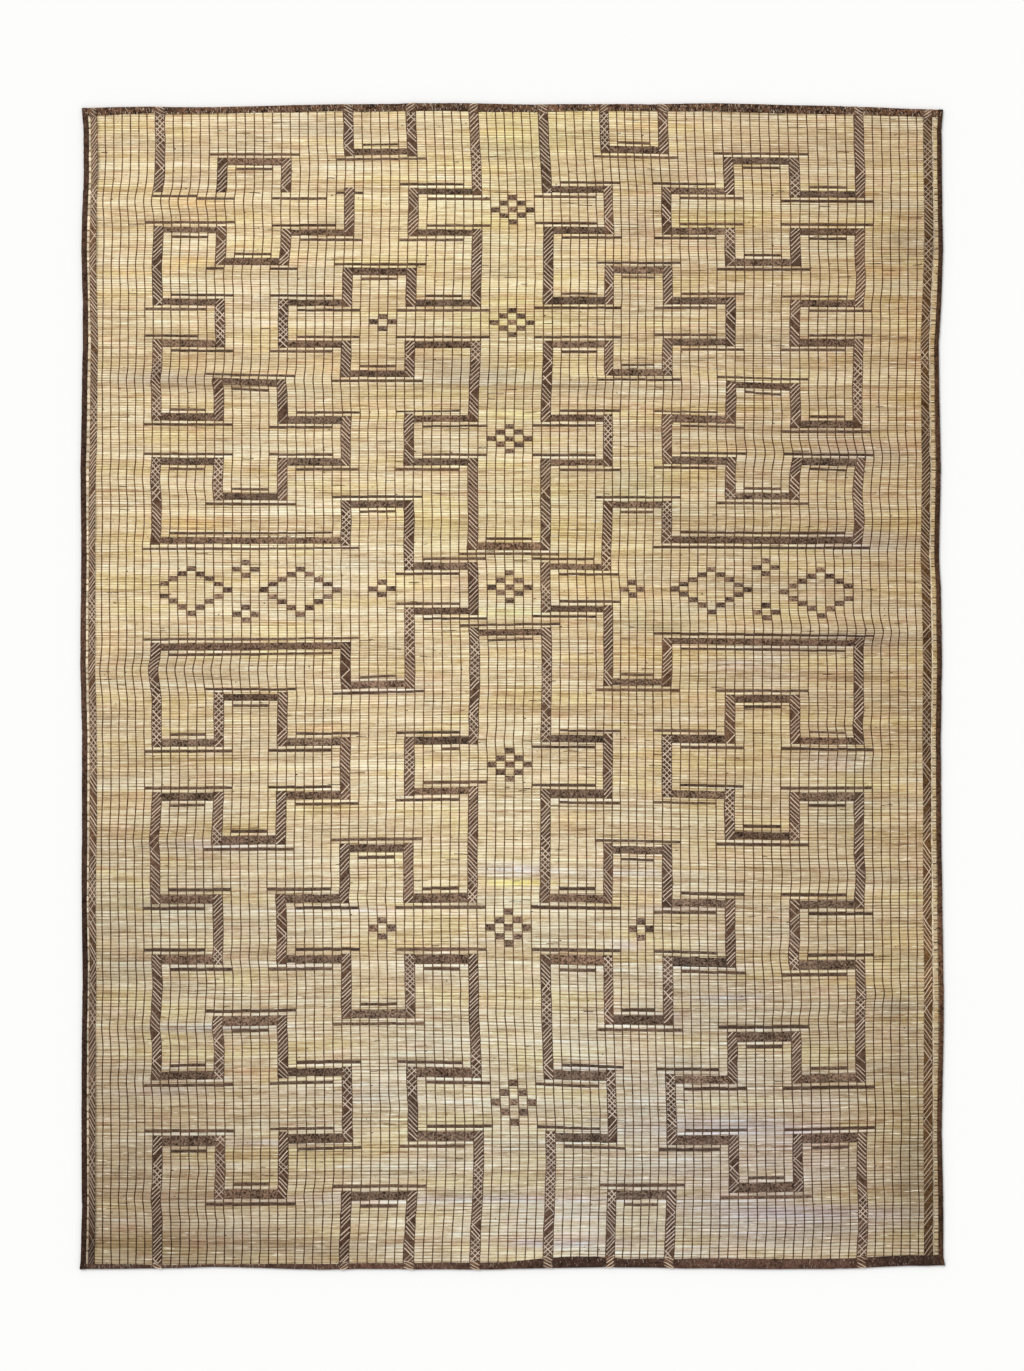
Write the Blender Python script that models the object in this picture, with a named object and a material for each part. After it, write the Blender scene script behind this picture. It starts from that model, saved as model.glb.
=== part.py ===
"""A floor mat of split reeds bound side by side with leather thongs, lying flat.

The reeds run across the mat (X), the thongs run from its foot to its head (Y), and Z is up from the
floor. Dark leather bands lie over the reeds: upright ones fill one column between two thongs, and
level ones cover three reeds. Every place in the design is counted as a weaver counts it, in columns
from the left side and in reeds from the head.
"""

import math

import bmesh
import bpy
import numpy as np

# The whole mat, in metres
HALF_LENGTH = 1.3550
LEFT_SIDE = -0.9995
RIGHT_SIDE = 0.9970
REED_TOP = 0.0050
THONG_RISE = 0.0008
GAP = 0.0003
CORNER_GAP = 0.0010

# Columns: the left-most thong, and the column width in each run of seven thongs, left to right
FIRST_THONG = -0.9693
COLUMN_WIDTHS = (0.01923, 0.02057, 0.02106, 0.02110, 0.02107, 0.02121, 0.02090,
                 0.02097, 0.01922, 0.02084, 0.02129, 0.02147, 0.02050, 0.02050)
THONGS_PER_RUN = 7
THONGS = 94
THONG_HALF_WIDTH = 0.0017
RIB_START = 0.0040

# Reeds: where the first one lies, and the spacing of the reeds at some distances from it
FIRST_REED = 1.3525
REED_SPACING_AT = (0.0, 1.000, 1.250, 1.500, 1.800, 2.150, 2.705)
REED_SPACING = (0.00552, 0.00577, 0.00584, 0.00644, 0.00731, 0.00763, 0.00746)
REEDS = 424
HEAD_REED = -1
FOOT_REED = REEDS + 1

# Leather
BAND_THICKNESS = 0.0014
BAND_HALF_REEDS = 1.5
LONGEST_STEP = 0.130
SIDE_BINDING_WIDTH = 0.0118
END_BINDING_WIDTH = 0.0175
BINDING_WALL = 0.0014
BINDING_UNDER = 0.0012
BINDING_UNDER_WIDTH = 0.0110
BRAID_WIDTH = 0.0172
LEFT_BRAID_INSET = 0.0190
RIGHT_BRAID_INSET = 0.0286
JOIN = 0.0008

# Both sides wander a little. Columns: distance from the head, how far the left side stands out
# there, and how far the right side does
SIDE_WANDER = (
    (0.000, -0.0010, 0.0000),
    (0.160, -0.0035, 0.0010),
    (0.330, 0.0010, 0.0035),
    (0.560, -0.0035, -0.0060),
    (0.840, 0.0035, -0.0010),
    (1.050, 0.0010, -0.0080),
    (1.300, 0.0035, 0.0010),
    (1.690, -0.0010, 0.0005),
    (2.045, -0.0035, 0.0060),
    (2.370, -0.0005, 0.0030),
    (2.710, 0.0035, 0.0035),
)
# So do the two ends. Columns: thong, how far the head end stands back there, and how far the foot does
END_WANDER = (
    (-2, 0.0140, 0.0023),
    (7, 0.0081, 0.0035),
    (14, 0.0081, 0.0065),
    (21, 0.0058, 0.0040),
    (28, 0.0023, 0.0000),
    (35, 0.0012, 0.0010),
    (42, 0.0012, 0.0010),
    (49, 0.0030, 0.0040),
    (56, 0.0028, 0.0046),
    (63, 0.0012, 0.0030),
    (70, 0.0000, 0.0046),
    (77, 0.0042, 0.0023),
    (84, 0.0079, 0.0023),
    (91, 0.0128, 0.0100),
    (96, 0.0160, 0.0145),
)

# Where the weave is pulled out of true. Columns: middle across, middle along, reach across, reach
# along, how far it is pulled to the right, and how far towards the head
PULLS = (
    (-0.654, 1.243, 0.580, 0.255, 0.0088, 0.0),
    (0.297, 1.360, 0.510, 0.186, -0.0116, 0.0),
    (-0.028, 1.011, 0.348, 0.209, 0.0053, 0.0),
    (-0.840, 0.032, 0.348, 0.046, -0.0058, 0.0),
    (-0.608, -0.404, 0.464, 0.139, -0.0046, 0.0),
    (0.807, 0.246, 0.302, 0.116, -0.0058, 0.0),
    (0.854, 0.652, 0.209, 0.116, -0.0053, 0.0),
    (0.251, -1.076, 0.603, 0.255, 0.0097, 0.0),
    (0.807, -1.262, 0.278, 0.139, 0.0046, 0.0),
    (0.645, -0.740, 0.278, 0.116, 0.0039, 0.0),
    (-0.237, 0.432, 0.232, 0.255, -0.0032, 0.0),
    (-0.329, -1.308, 0.232, 0.116, -0.0070, 0.0),
    (0.900, 1.336, 0.580, 0.278, 0.0, -0.0104),
    (-0.840, 1.313, 0.580, 0.139, 0.0, 0.0046),
    (-0.956, 0.664, 0.278, 0.464, 0.0, 0.0035),
    (0.807, 0.501, 0.464, 0.302, 0.0, -0.0046),
    (-0.051, -0.311, 0.371, 0.348, 0.0, 0.0046),
    (-0.886, -0.218, 0.418, 0.232, 0.0, -0.0035),
    (0.738, -0.404, 0.348, 0.278, 0.0, -0.0044),
    (-0.283, -0.844, 0.325, 0.162, 0.0, 0.0063),
    (0.390, -0.798, 0.394, 0.232, 0.0, -0.0051),
    (-0.724, -1.239, 0.464, 0.209, 0.0, -0.0074),
    (0.970, -1.169, 0.302, 0.209, 0.0, 0.0097),
    (-0.13, 1.209, 0.16, 0.174, 0.0039, 0.0),
    (0.81, 1.197, 0.20, 0.174, 0.0051, 0.0),
    (-0.86, 1.123, 0.19, 0.042, -0.0060, 0.0),
    (-0.52, 1.044, 0.14, 0.037, 0.0037, 0.0),
    (-0.85, 0.984, 0.12, 0.037, -0.0028, 0.0),
    (-0.29, 0.849, 0.07, 0.186, -0.0019, 0.0),
    (0.74, 0.942, 0.15, 0.056, 0.0049, 0.0),
    (-0.75, 0.803, 0.21, 0.081, 0.0028, 0.0),
    (-0.00, 0.780, 0.17, 0.104, 0.0039, 0.0),
    (0.41, 0.691, 0.14, 0.032, 0.0026, 0.0),
    (0.68, 0.636, 0.14, 0.042, 0.0049, 0.0),
    (0.73, 0.538, 0.17, 0.030, 0.0086, 0.0),
    (-0.82, 0.483, 0.16, 0.030, -0.0032, 0.0),
    (0.85, 0.450, 0.09, 0.032, -0.0026, 0.0),
    (0.71, 0.728, 0.08, 0.051, 0.0026, 0.0),
    (0.71, 0.385, 0.19, 0.028, 0.0028, 0.0),
    (-0.35, 0.385, 0.21, 0.030, 0.0023, 0.0),
    (-0.86, 0.234, 0.20, 0.116, -0.0032, 0.0),
    (0.23, 0.292, 0.12, 0.065, -0.0042, 0.0),
    (-0.03, 0.042, 0.20, 0.097, 0.0030, 0.0),
    (0.71, 0.135, 0.20, 0.028, 0.0060, 0.0),
    (0.84, 0.223, 0.09, 0.037, 0.0026, 0.0),
    (-0.84, -0.230, 0.14, 0.081, 0.0021, 0.0),
    (-0.45, -0.183, 0.16, 0.093, -0.0021, 0.0),
    (0.39, -0.037, 0.10, 0.058, -0.0019, 0.0),
    (0.71, -0.125, 0.08, 0.028, 0.0030, 0.0),
    (0.52, -0.283, 0.12, 0.070, -0.0019, 0.0),
    (0.73, -0.432, 0.14, 0.035, 0.0037, 0.0),
    (-0.03, -0.508, 0.16, 0.162, -0.0030, 0.0),
    (0.85, -0.566, 0.08, 0.162, 0.0026, 0.0),
    (0.66, -0.631, 0.09, 0.028, -0.0042, 0.0),
    (-0.77, -0.789, 0.26, 0.026, -0.0039, 0.0),
    (0.64, -0.789, 0.12, 0.026, -0.0023, 0.0),
    (-0.79, -0.687, 0.14, 0.028, 0.0023, 0.0),
    (-0.09, -1.100, 0.22, 0.244, 0.0044, 0.0),
    (-0.70, -1.030, 0.14, 0.081, 0.0032, 0.0),
    (-0.72, -1.285, 0.14, 0.051, 0.0032, 0.0),
    (0.33, -1.076, 0.08, 0.255, 0.0021, 0.0),
    (0.81, -0.984, 0.14, 0.081, 0.0046, 0.0),
    (0.68, -1.250, 0.16, 0.081, 0.0039, 0.0),
    (0.41, 1.081, 0.10, 0.046, -0.0026, 0.0),
    (-0.42, 1.202, 0.14, 0.035, 0.0023, 0.0),
    (-0.49, -0.026, 0.39, 0.023, 0.0016, 0.0),
    (-0.49, 0.538, 0.19, 0.026, 0.0019, 0.0),
)

# The stepped bands. A band starts in a column, and each row then says: the reed it turns along on
# the left half of the mat, the same on the right half, and the column it turns up or down into.
# Near the head the left side band has lost two of its level runs, so it is made in three pieces
HEAD_KEY_START = 7
HEAD_KEY = ((38, 37, 14), (25, 23, 21), (37, 36, 28))
SIDE_BAND = (
    (54, 53, 21), (66, 66, 14), (53, 53, 7), (83, 83, 14), (100, 99, 7), (130, 132, 14),
    (116, 117, 21), (131, 130, 28), (148, 147, 21), (162, 161, 14), (148, 147, 7),
    (180, 179, 28), (165, 165, 35), (190, 190, 42), (208, 207, 35), (237, 236, 28),
    (222, 220, 7), (258, 257, 14), (241, 242, 21), (258, 257, 28), (277, 276, 21),
    (292, 290, 14), (277, 277, 7), (311, 312, 14), (330, 331, 7), (365, 366, 14),
    (349, 353, 21), (365, 366, 28), (384, 385, 21), (401, 400, 14), (385, 385, 7),
)
LEFT_STUB_END = 37.5
LEFT_REST_START = 35.5
CENTRE_COLUMN = 42
UPPER_BAND = (
    (37, 36, 35), (54, 53, 42), (83, 82, 35), (70, 69, 28), (83, 82, 21), (100, 99, 28),
    (112, 111, 35), (100, 100, 42), (130, 130, 35), (148, 148, 42),
)
UPPER_BAND_FOOT = 182
LOWER_BAND_HEAD = 216
LOWER_BAND = (
    (258, 257, 35), (276, 277, 42), (311, 311, 35), (295, 295, 28), (311, 312, 21),
    (330, 330, 28), (347, 348, 35), (330, 330, 42), (365, 365, 35), (384, 384, 42),
)
END_KEY_COLUMN = 28
HEAD_KEY_REEDS = (21, 19)
FOOT_KEY_REEDS = (402, 402)
END_KEY_TO = 35
LAST_COLUMN = 92

# Lozenges of small squares. Columns: name, middle column, middle reed, and the reeds that each row
# of squares covers, from the head down. Two of the big diamonds have lost the square at one tip
FILLED_LOZENGES = (
    ("centre_lozenge_1", 46, 44.5, (2, 3, 2, 3, 2)),
    ("centre_lozenge_2", 46, 91.0, (2, 3, 2, 3, 2)),
    ("centre_lozenge_3", 46, 138.5, (2, 3, 2, 3, 2)),
    ("centre_lozenge_4", 46, 198.5, (3, 3, 2, 3, 3)),
    ("centre_lozenge_5", 46, 267.0, (3, 2, 3, 2, 3)),
    ("centre_lozenge_6", 46, 320.5, (3, 2, 3, 2, 3)),
    ("centre_lozenge_7", 46, 374.0, (3, 3, 3, 3, 3)),
)
OPEN_LOZENGES = (
    ("small_lozenge_1", 32, 91.0, (2, 3, 2)),
    ("small_lozenge_2", 32, 199.0, (3, 2, 3)),
    ("small_lozenge_3", 60, 199.0, (3, 2, 3)),
    ("small_lozenge_4", 32, 320.5, (2, 3, 2)),
    ("small_lozenge_5", 61, 320.5, (2, 3, 2)),
    ("panel_lozenge_1", 17, 191.0, (3, 2, 3)),
    ("panel_lozenge_2", 17, 209.0, (3, 2, 3)),
    ("panel_lozenge_3", 75, 190.0, (3, 2, 3)),
    ("panel_lozenge_4", 75, 208.0, (3, 2, 3)),
    ("panel_diamond_1", 11, 200.0, (2, 2, 2, 2, 3, 2, 2, 3, 2)),
    ("panel_diamond_2", 23, 200.0, (2, 2, 2, 2, 3, 2, 2, 3, 2)),
    ("panel_diamond_3", 69, 199.5, (2, 2, 2, 2, 2, 2, 2, 3, 2)),
    ("panel_diamond_4", 81, 200.0, (3, 2, 2, 2, 3, 2, 2, 3, 2)),
)
LOST_SQUARES = {"panel_diamond_1": (-4, 0), "panel_diamond_4": (4, 0)}

# Colour and roughness of each finish
REED_LOOK = ("reed", (0.68, 0.57, 0.38), 0.62)
BAND_LOOK = ("band_leather", (0.115, 0.070, 0.052), 0.66)
SIDE_LOOK = ("side_leather", (0.040, 0.026, 0.021), 0.60)
END_LOOK = ("end_leather", (0.105, 0.060, 0.042), 0.66)


def clear_scene():
    for item in list(bpy.data.objects):
        bpy.data.objects.remove(item, do_unlink=True)


def leather_or_reed(look):
    name, colour, roughness = look
    material = bpy.data.materials.get(name)
    if material is None:
        material = bpy.data.materials.new(name)
        material.use_nodes = True
        shader = material.node_tree.nodes["Principled BSDF"]
        shader.inputs["Base Color"].default_value = (*colour, 1.0)
        shader.inputs["Roughness"].default_value = roughness
        shader.inputs["Metallic"].default_value = 0.0
    return material


def add_object(name, mesh_data, look):
    mesh = bpy.data.meshes.new(name)
    mesh_data.to_mesh(mesh)
    mesh_data.free()
    mesh.materials.append(leather_or_reed(look))
    item = bpy.data.objects.new(name, mesh)
    bpy.context.scene.collection.objects.link(item)
    return item


# The outline

def column_of(table, index):
    return [row[index] for row in table]


def left_side(y):
    out = np.interp(HALF_LENGTH - y, column_of(SIDE_WANDER, 0), column_of(SIDE_WANDER, 1))
    return LEFT_SIDE - float(out)


def right_side(y):
    out = np.interp(HALF_LENGTH - y, column_of(SIDE_WANDER, 0), column_of(SIDE_WANDER, 2))
    return RIGHT_SIDE + float(out)


def column_x(column):
    """Where a thong would lie if the mat were true; column may fall between two thongs."""
    x = FIRST_THONG
    left = column
    for width in COLUMN_WIDTHS:
        here = min(left, THONGS_PER_RUN)
        x += here * width
        left -= here
        if left <= 0:
            break
    return x


END_POINTS = [column_x(thong) for thong in column_of(END_WANDER, 0)]


def head_end(x):
    return HALF_LENGTH - float(np.interp(x, END_POINTS, column_of(END_WANDER, 1)))


def foot_end(x):
    return -HALF_LENGTH + float(np.interp(x, END_POINTS, column_of(END_WANDER, 2)))


def between_bindings(x, y):
    """The nearest y to this one that is clear of the two end bindings."""
    highest = head_end(x) - END_BINDING_WIDTH - GAP
    lowest = foot_end(x) + END_BINDING_WIDTH + GAP
    return min(highest, max(lowest, y))


# The weave

def reed_places():
    """How far from the first reed each reed lies."""
    places = [0.0]
    while len(places) <= REEDS + 2:
        spacing = float(np.interp(places[-1], REED_SPACING_AT, REED_SPACING))
        places.append(places[-1] + spacing)
    return places


REED_PLACES = reed_places()


def reed_y(reed):
    return FIRST_REED - float(np.interp(reed, range(len(REED_PLACES)), REED_PLACES))


def pull_at(x, y):
    right = 0.0
    up = 0.0
    for mid_x, mid_y, reach_x, reach_y, pull_x, pull_y in PULLS:
        share = math.exp(-((x - mid_x) / reach_x) ** 2 - ((y - mid_y) / reach_y) ** 2)
        right += share * pull_x
        up += share * pull_y
    return right, up


def weave_point(column, reed):
    """The point of the mat at a thong and a reed, with the weave pulled as it is, inside the bindings."""
    x = column_x(column)
    y = reed_y(reed)
    right, up = pull_at(x, y)
    return x + right, between_bindings(x + right, y + up)


# Flat leather strips

def strip_solid(name, left_line, right_line, low, high, look):
    """A flat strip between two lines of points, closed at both ends."""
    data = bmesh.new()
    rows = []
    for (lx, ly), (rx, ry) in zip(left_line, right_line):
        rows.append([
            data.verts.new((lx, ly, high)),
            data.verts.new((rx, ry, high)),
            data.verts.new((rx, ry, low)),
            data.verts.new((lx, ly, low)),
        ])
    for row, after in zip(rows, rows[1:]):
        for i in range(4):
            j = (i + 1) % 4
            data.faces.new((row[i], row[j], after[j], after[i]))
    data.faces.new(rows[0][::-1])
    data.faces.new(rows[-1])
    bmesh.ops.recalc_face_normals(data, faces=data.faces)
    return add_object(name, data, look)


def mirror_column(column):
    return LAST_COLUMN - column


def corner_points(start, start_reed, turns, end_reed):
    """The middle line of a stepped band, as (column, reed) corners."""
    corners = [(start, start_reed)]
    column = start
    for reed, to_column in turns:
        corners.append((column, reed))
        corners.append((to_column, reed))
        column = to_column
    corners.append((column, end_reed))
    return corners


def with_steps(corners):
    """The same line with points added wherever a run is longer than the longest step."""
    line = [corners[0]]
    for here, there in zip(corners, corners[1:]):
        x0, y0 = weave_point(here[0] + 0.5, here[1])
        x1, y1 = weave_point(there[0] + 0.5, there[1])
        pieces = max(1, math.ceil(math.hypot(x1 - x0, y1 - y0) / LONGEST_STEP))
        for i in range(1, pieces + 1):
            share = i / pieces
            line.append(tuple(a + (b - a) * share for a, b in zip(here, there)))
    return line


def direction(here, there):
    across = there[0] - here[0]
    down = there[1] - here[1]
    length = math.hypot(across, down)
    return across / length, down / length


def stepped_band(name, corners):
    """A band that fills one column where it is upright and three reeds where it is level."""
    line = with_steps(corners)
    left_line = []
    right_line = []
    for i, (column, reed) in enumerate(line):
        before = direction(line[i - 1], line[i]) if i else direction(line[0], line[1])
        after = direction(line[i], line[i + 1]) if i + 1 < len(line) else before
        side_across = 0.0
        side_down = 0.0
        for across, down in (before, after):
            if abs(down) > abs(across):
                side_across = math.copysign(0.5, down)
            else:
                side_down = -math.copysign(BAND_HALF_REEDS, across)
        middle = column + 0.5
        left_line.append(weave_point(middle + side_across, reed + side_down))
        right_line.append(weave_point(middle - side_across, reed - side_down))
    low = REED_TOP + THONG_RISE + GAP
    return strip_solid(name, left_line, right_line, low, low + BAND_THICKNESS, BAND_LOOK)


def left_turns(rows):
    return [(left, column) for left, _, column in rows]


def right_turns(rows):
    return [(right, mirror_column(column)) for _, right, column in rows]


def across_turns(rows, joining_reed):
    """Down the left half, across the middle, and back along the right half."""
    there = left_turns(rows)
    middle = [(joining_reed, mirror_column(rows[-1][2]))]
    columns = [CENTRE_COLUMN] + column_of(rows, 2)[:-1]
    rights = column_of(rows, 1)
    back = [(right, mirror_column(column)) for right, column in zip(rights[::-1], columns[::-1])]
    return there + middle + back


def key_corners(first, second, start_reed, turn_reed):
    """A U shape: from one column along a reed to another, and back to where it started."""
    return [(first, start_reed), (first, turn_reed), (second, turn_reed), (second, start_reed)]


def side_bands():
    first, second, third = column_of(HEAD_KEY, 2)
    stepped_band("left_head_stub", [(HEAD_KEY_START, HEAD_REED), (HEAD_KEY_START, LEFT_STUB_END)])
    stepped_band("left_head_key", key_corners(first, second, LEFT_STUB_END, HEAD_KEY[1][0]))
    left = corner_points(third, LEFT_REST_START, left_turns(SIDE_BAND), FOOT_REED)
    stepped_band("left_side_band", left)
    turns = right_turns(HEAD_KEY + SIDE_BAND)
    right = corner_points(mirror_column(HEAD_KEY_START), HEAD_REED, turns, FOOT_REED)
    stepped_band("right_side_band", right)


def centre_bands():
    upper = across_turns(UPPER_BAND, UPPER_BAND_FOOT)
    stepped_band("upper_centre_band", corner_points(CENTRE_COLUMN, HEAD_REED, upper, HEAD_REED))
    left = corner_points(CENTRE_COLUMN, LOWER_BAND_HEAD, left_turns(LOWER_BAND), FOOT_REED)
    right_start = mirror_column(CENTRE_COLUMN)
    right = corner_points(right_start, LOWER_BAND_HEAD, right_turns(LOWER_BAND), FOOT_REED)
    stepped_band("lower_centre_band", left[::-1] + right)


def end_keys():
    left = (END_KEY_COLUMN, END_KEY_TO)
    right = (mirror_column(END_KEY_COLUMN), mirror_column(END_KEY_TO))
    for i, (side, (first, second)) in enumerate((("left", left), ("right", right))):
        head_key = key_corners(first, second, HEAD_REED, HEAD_KEY_REEDS[i])
        foot_key = key_corners(first, second, FOOT_REED, FOOT_KEY_REEDS[i])
        stepped_band(f"{side}_head_inner_key", head_key)
        stepped_band(f"{side}_foot_inner_key", foot_key)


# Lozenges

def lozenge_squares(rows, filled):
    """Which squares a lozenge has, as (column step, row) pairs from its middle."""
    radius = len(rows) // 2
    squares = []
    for row in range(-radius, radius + 1):
        reach = radius - abs(row)
        steps = range(-reach, reach + 1, 2) if filled else sorted({-reach, reach})
        squares += [(step, row) for step in steps]
    return squares


def around(points):
    """The points of a convex outline in order, anticlockwise."""
    mid_x = sum(x for x, _ in points) / len(points)
    mid_y = sum(y for _, y in points) / len(points)
    return sorted(points, key=lambda point: math.atan2(point[1] - mid_y, point[0] - mid_x))


def square_outline(middle_column, edges, squares, step, row):
    """A square's points. Where it meets another at a corner, a short slanting edge joins the two."""
    top_row = row + len(edges) // 2 - 1
    points = []
    for side_x, side_y in ((1, -1), (-1, -1), (-1, 1), (1, 1)):
        column = middle_column + step + max(side_x, 0)
        x, y = weave_point(column, edges[top_row + max(side_y, 0)])
        if (step + side_x, row + side_y) in squares:
            points.append((x + JOIN * side_x, y + JOIN * side_y))
            points.append((x - JOIN * side_x, y - JOIN * side_y))
        else:
            points.append((x, y))
    return around(points)


def lozenge(name, middle_column, middle_reed, rows, filled):
    """Leather squares that meet at their corners; rows says how many reeds each row covers."""
    squares = lozenge_squares(rows, filled)
    if name in LOST_SQUARES:
        squares.remove(LOST_SQUARES[name])
    edges = [middle_reed - sum(rows) / 2]
    for reeds in rows:
        edges.append(edges[-1] + reeds)
    low = REED_TOP + THONG_RISE + GAP
    data = bmesh.new()
    made = {}

    def vertex(x, y, z):
        key = (round(x, 7), round(y, 7), z)
        if key not in made:
            made[key] = data.verts.new((x, y, z))
        return made[key]

    faces = []
    for step, row in squares:
        outline = square_outline(middle_column, edges, squares, step, row)
        top = [vertex(x, y, low + BAND_THICKNESS) for x, y in outline]
        bottom = [vertex(x, y, low) for x, y in outline]
        data.faces.new(top)
        data.faces.new(bottom[::-1])
        faces.append((top, bottom))
    for top, bottom in faces:
        for i in range(len(top)):
            j = (i + 1) % len(top)
            if len(data.edges.get((top[i], top[j])).link_faces) == 1:
                data.faces.new((top[i], bottom[i], bottom[j], top[j]))
    bmesh.ops.recalc_face_normals(data, faces=data.faces)
    return add_object(name, data, BAND_LOOK)


def lozenges():
    for name, column, reed, rows in FILLED_LOZENGES:
        lozenge(name, column, reed, rows, filled=True)
    for name, column, reed, rows in OPEN_LOZENGES:
        lozenge(name, column, reed, rows, filled=False)


# Bindings and braids

def folded_section(top_width, under_width):
    """A binding's section, as (distance in from the edge, height), open towards the mat."""
    top_under = REED_TOP + GAP
    top = top_under + BINDING_WALL
    round_off = BINDING_WALL * 0.5
    return (
        (round_off, 0.0),
        (0.0, round_off),
        (0.0, top - round_off),
        (round_off, top),
        (top_width - round_off, top),
        (top_width, top - round_off),
        (top_width, top_under),
        (BINDING_WALL, top_under),
        (BINDING_WALL, BINDING_UNDER),
        (under_width, BINDING_UNDER),
        (under_width, 0.0),
    )


def binding(name, section, stations, place, look):
    """A folded strip along one edge of the mat; place gives a point at a station and a depth."""
    data = bmesh.new()
    rings = []
    for station in stations:
        rings.append([data.verts.new((*place(station, depth), z)) for depth, z in section])
    count = len(section)
    for ring, after in zip(rings, rings[1:]):
        for i in range(count):
            j = (i + 1) % count
            data.faces.new((ring[i], ring[j], after[j], after[i]))
    data.faces.new(rings[0][::-1])
    data.faces.new(rings[-1])
    bmesh.ops.recalc_face_normals(data, faces=data.faces)
    return add_object(name, data, look)


def side_stations():
    return [HALF_LENGTH - along for along in column_of(SIDE_WANDER, 0)]


def along_share(y):
    return (y + HALF_LENGTH) / (2 * HALF_LENGTH)


def left_place(y, depth):
    x = left_side(y) + depth
    return x, foot_end(x) + along_share(y) * (head_end(x) - foot_end(x))


def right_place(y, depth):
    x = right_side(y) - depth
    return x, foot_end(x) + along_share(y) * (head_end(x) - foot_end(x))


def end_stations(y):
    """Where an end binding has a point: at every seventh thong, and clear of the side bindings."""
    inside = SIDE_BINDING_WIDTH + CORNER_GAP
    return [left_side(y) + inside] + END_POINTS[1:-1] + [right_side(y) - inside]


def head_place(x, depth):
    return x, head_end(x) - depth


def foot_place(x, depth):
    return x, foot_end(x) + depth


def bindings():
    side = folded_section(SIDE_BINDING_WIDTH, BINDING_UNDER_WIDTH)
    end = folded_section(END_BINDING_WIDTH, BINDING_UNDER_WIDTH)
    binding("left_binding", side, side_stations(), left_place, SIDE_LOOK)
    binding("right_binding", side, side_stations(), right_place, SIDE_LOOK)
    binding("head_binding", end, end_stations(HALF_LENGTH), head_place, END_LOOK)
    binding("foot_binding", end, end_stations(-HALF_LENGTH), foot_place, END_LOOK)


def side_braid(name, place, inset):
    low = REED_TOP + THONG_RISE + GAP
    outer = [place(y, inset) for y in side_stations()]
    inner = [place(y, inset + BRAID_WIDTH) for y in side_stations()]
    outer = [(x, between_bindings(x, y)) for x, y in outer]
    inner = [(x, between_bindings(x, y)) for x, y in inner]
    strip_solid(name, outer, inner, low, low + BAND_THICKNESS, BAND_LOOK)


# The reed field

def rib_lines():
    """Across the mat: (thong, step aside, height share) of each line of points on the top face."""
    lines = []
    for thong in range(THONGS):
        lines.append((thong, -THONG_HALF_WIDTH, 0.0))
        lines.append((thong, 0.0, 1.0))
        lines.append((thong, THONG_HALF_WIDTH, 0.0))
    return lines


def ridge_index(thong):
    """The place of a thong's ridge in a row of top points, which starts with one at the side."""
    return 1 + rib_lines().index((thong, 0.0, 1.0))


def rib_stations():
    """Along the mat: (distance from the head, height share of the ribs), which start past the bindings."""
    first = END_BINDING_WIDTH + GAP
    last = 2 * HALF_LENGTH - first
    stations = [(first, 0.0), (first + RIB_START, 1.0)]
    stations += [(along, 1.0) for along in column_of(SIDE_WANDER, 0)[1:-1]]
    stations += [(last - RIB_START, 1.0), (last, 0.0)]
    return stations


def field_point(x, along, edge, z):
    """A point of the slab at x and a distance from the head, between the slab's own two ends."""
    share = along_share(HALF_LENGTH - along)
    low = foot_end(x) + edge
    high = head_end(x) - edge
    return x, low + share * (high - low), z


def field_row(along, share, edge):
    """The top points of one station, from the left side to the right side."""
    y = HALF_LENGTH - along
    row = [field_point(left_side(y) + edge, along, edge, REED_TOP)]
    for thong, aside, height in rib_lines():
        x = column_x(thong)
        x += pull_at(x, y)[0] + aside
        row.append(field_point(x, along, edge, REED_TOP + height * share * THONG_RISE))
    row.append(field_point(right_side(y) - edge, along, edge, REED_TOP))
    return row


def end_row(along, edge):
    """The few top points along one end of the slab, under the end binding."""
    y = HALF_LENGTH - along
    xs = [left_side(y) + edge] + END_POINTS[1:-1] + [right_side(y) - edge]
    return [field_point(x, along, edge, REED_TOP) for x in xs]


def reed_field():
    """One slab for all the reeds: thong ribs on top, and an edge stepped up over the bindings."""
    edge = BINDING_WALL + GAP
    data = bmesh.new()

    def vertices(points):
        return [data.verts.new(point) for point in points]

    rows = [vertices(field_row(along, share, edge)) for along, share in rib_stations()]
    for upper, lower in zip(rows, rows[1:]):
        for i in range(len(upper) - 1):
            data.faces.new((upper[i], lower[i], lower[i + 1], upper[i + 1]))

    across = len(rows[0]) - 1
    joints = [0] + [ridge_index(thong) for thong in column_of(END_WANDER, 0)[1:-1]] + [across]
    head = vertices(end_row(0.0, edge))
    foot = vertices(end_row(2 * HALF_LENGTH, edge))
    for end, row in ((head, rows[0]), (foot, rows[-1])):
        for k, (first, last) in enumerate(zip(joints, joints[1:])):
            data.faces.new([end[k + 1], end[k]] + row[first:last + 1])

    rim = head + [row[-1] for row in rows] + foot[::-1] + [row[0] for row in reversed(rows)]

    def ring(inward, z):
        made = []
        for corner in rim:
            x, y, _ = corner.co
            x = min(max(x, left_side(y) + edge + inward), right_side(y) - edge - inward)
            y = min(max(y, foot_end(x) + edge + inward), head_end(x) - edge - inward)
            made.append(data.verts.new((x, y, z)))
        return made

    step_height = BINDING_UNDER + GAP
    step_width = BINDING_UNDER_WIDTH - BINDING_WALL + GAP
    rings = [rim, ring(0.0, step_height), ring(step_width, step_height), ring(step_width, 0.0)]
    for outer, inner in zip(rings, rings[1:]):
        for k in range(len(rim)):
            n = (k + 1) % len(rim)
            data.faces.new((outer[k], outer[n], inner[n], inner[k]))
    data.faces.new(rings[-1])
    bmesh.ops.recalc_face_normals(data, faces=data.faces)
    return add_object("reed_field", data, REED_LOOK)


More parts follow.
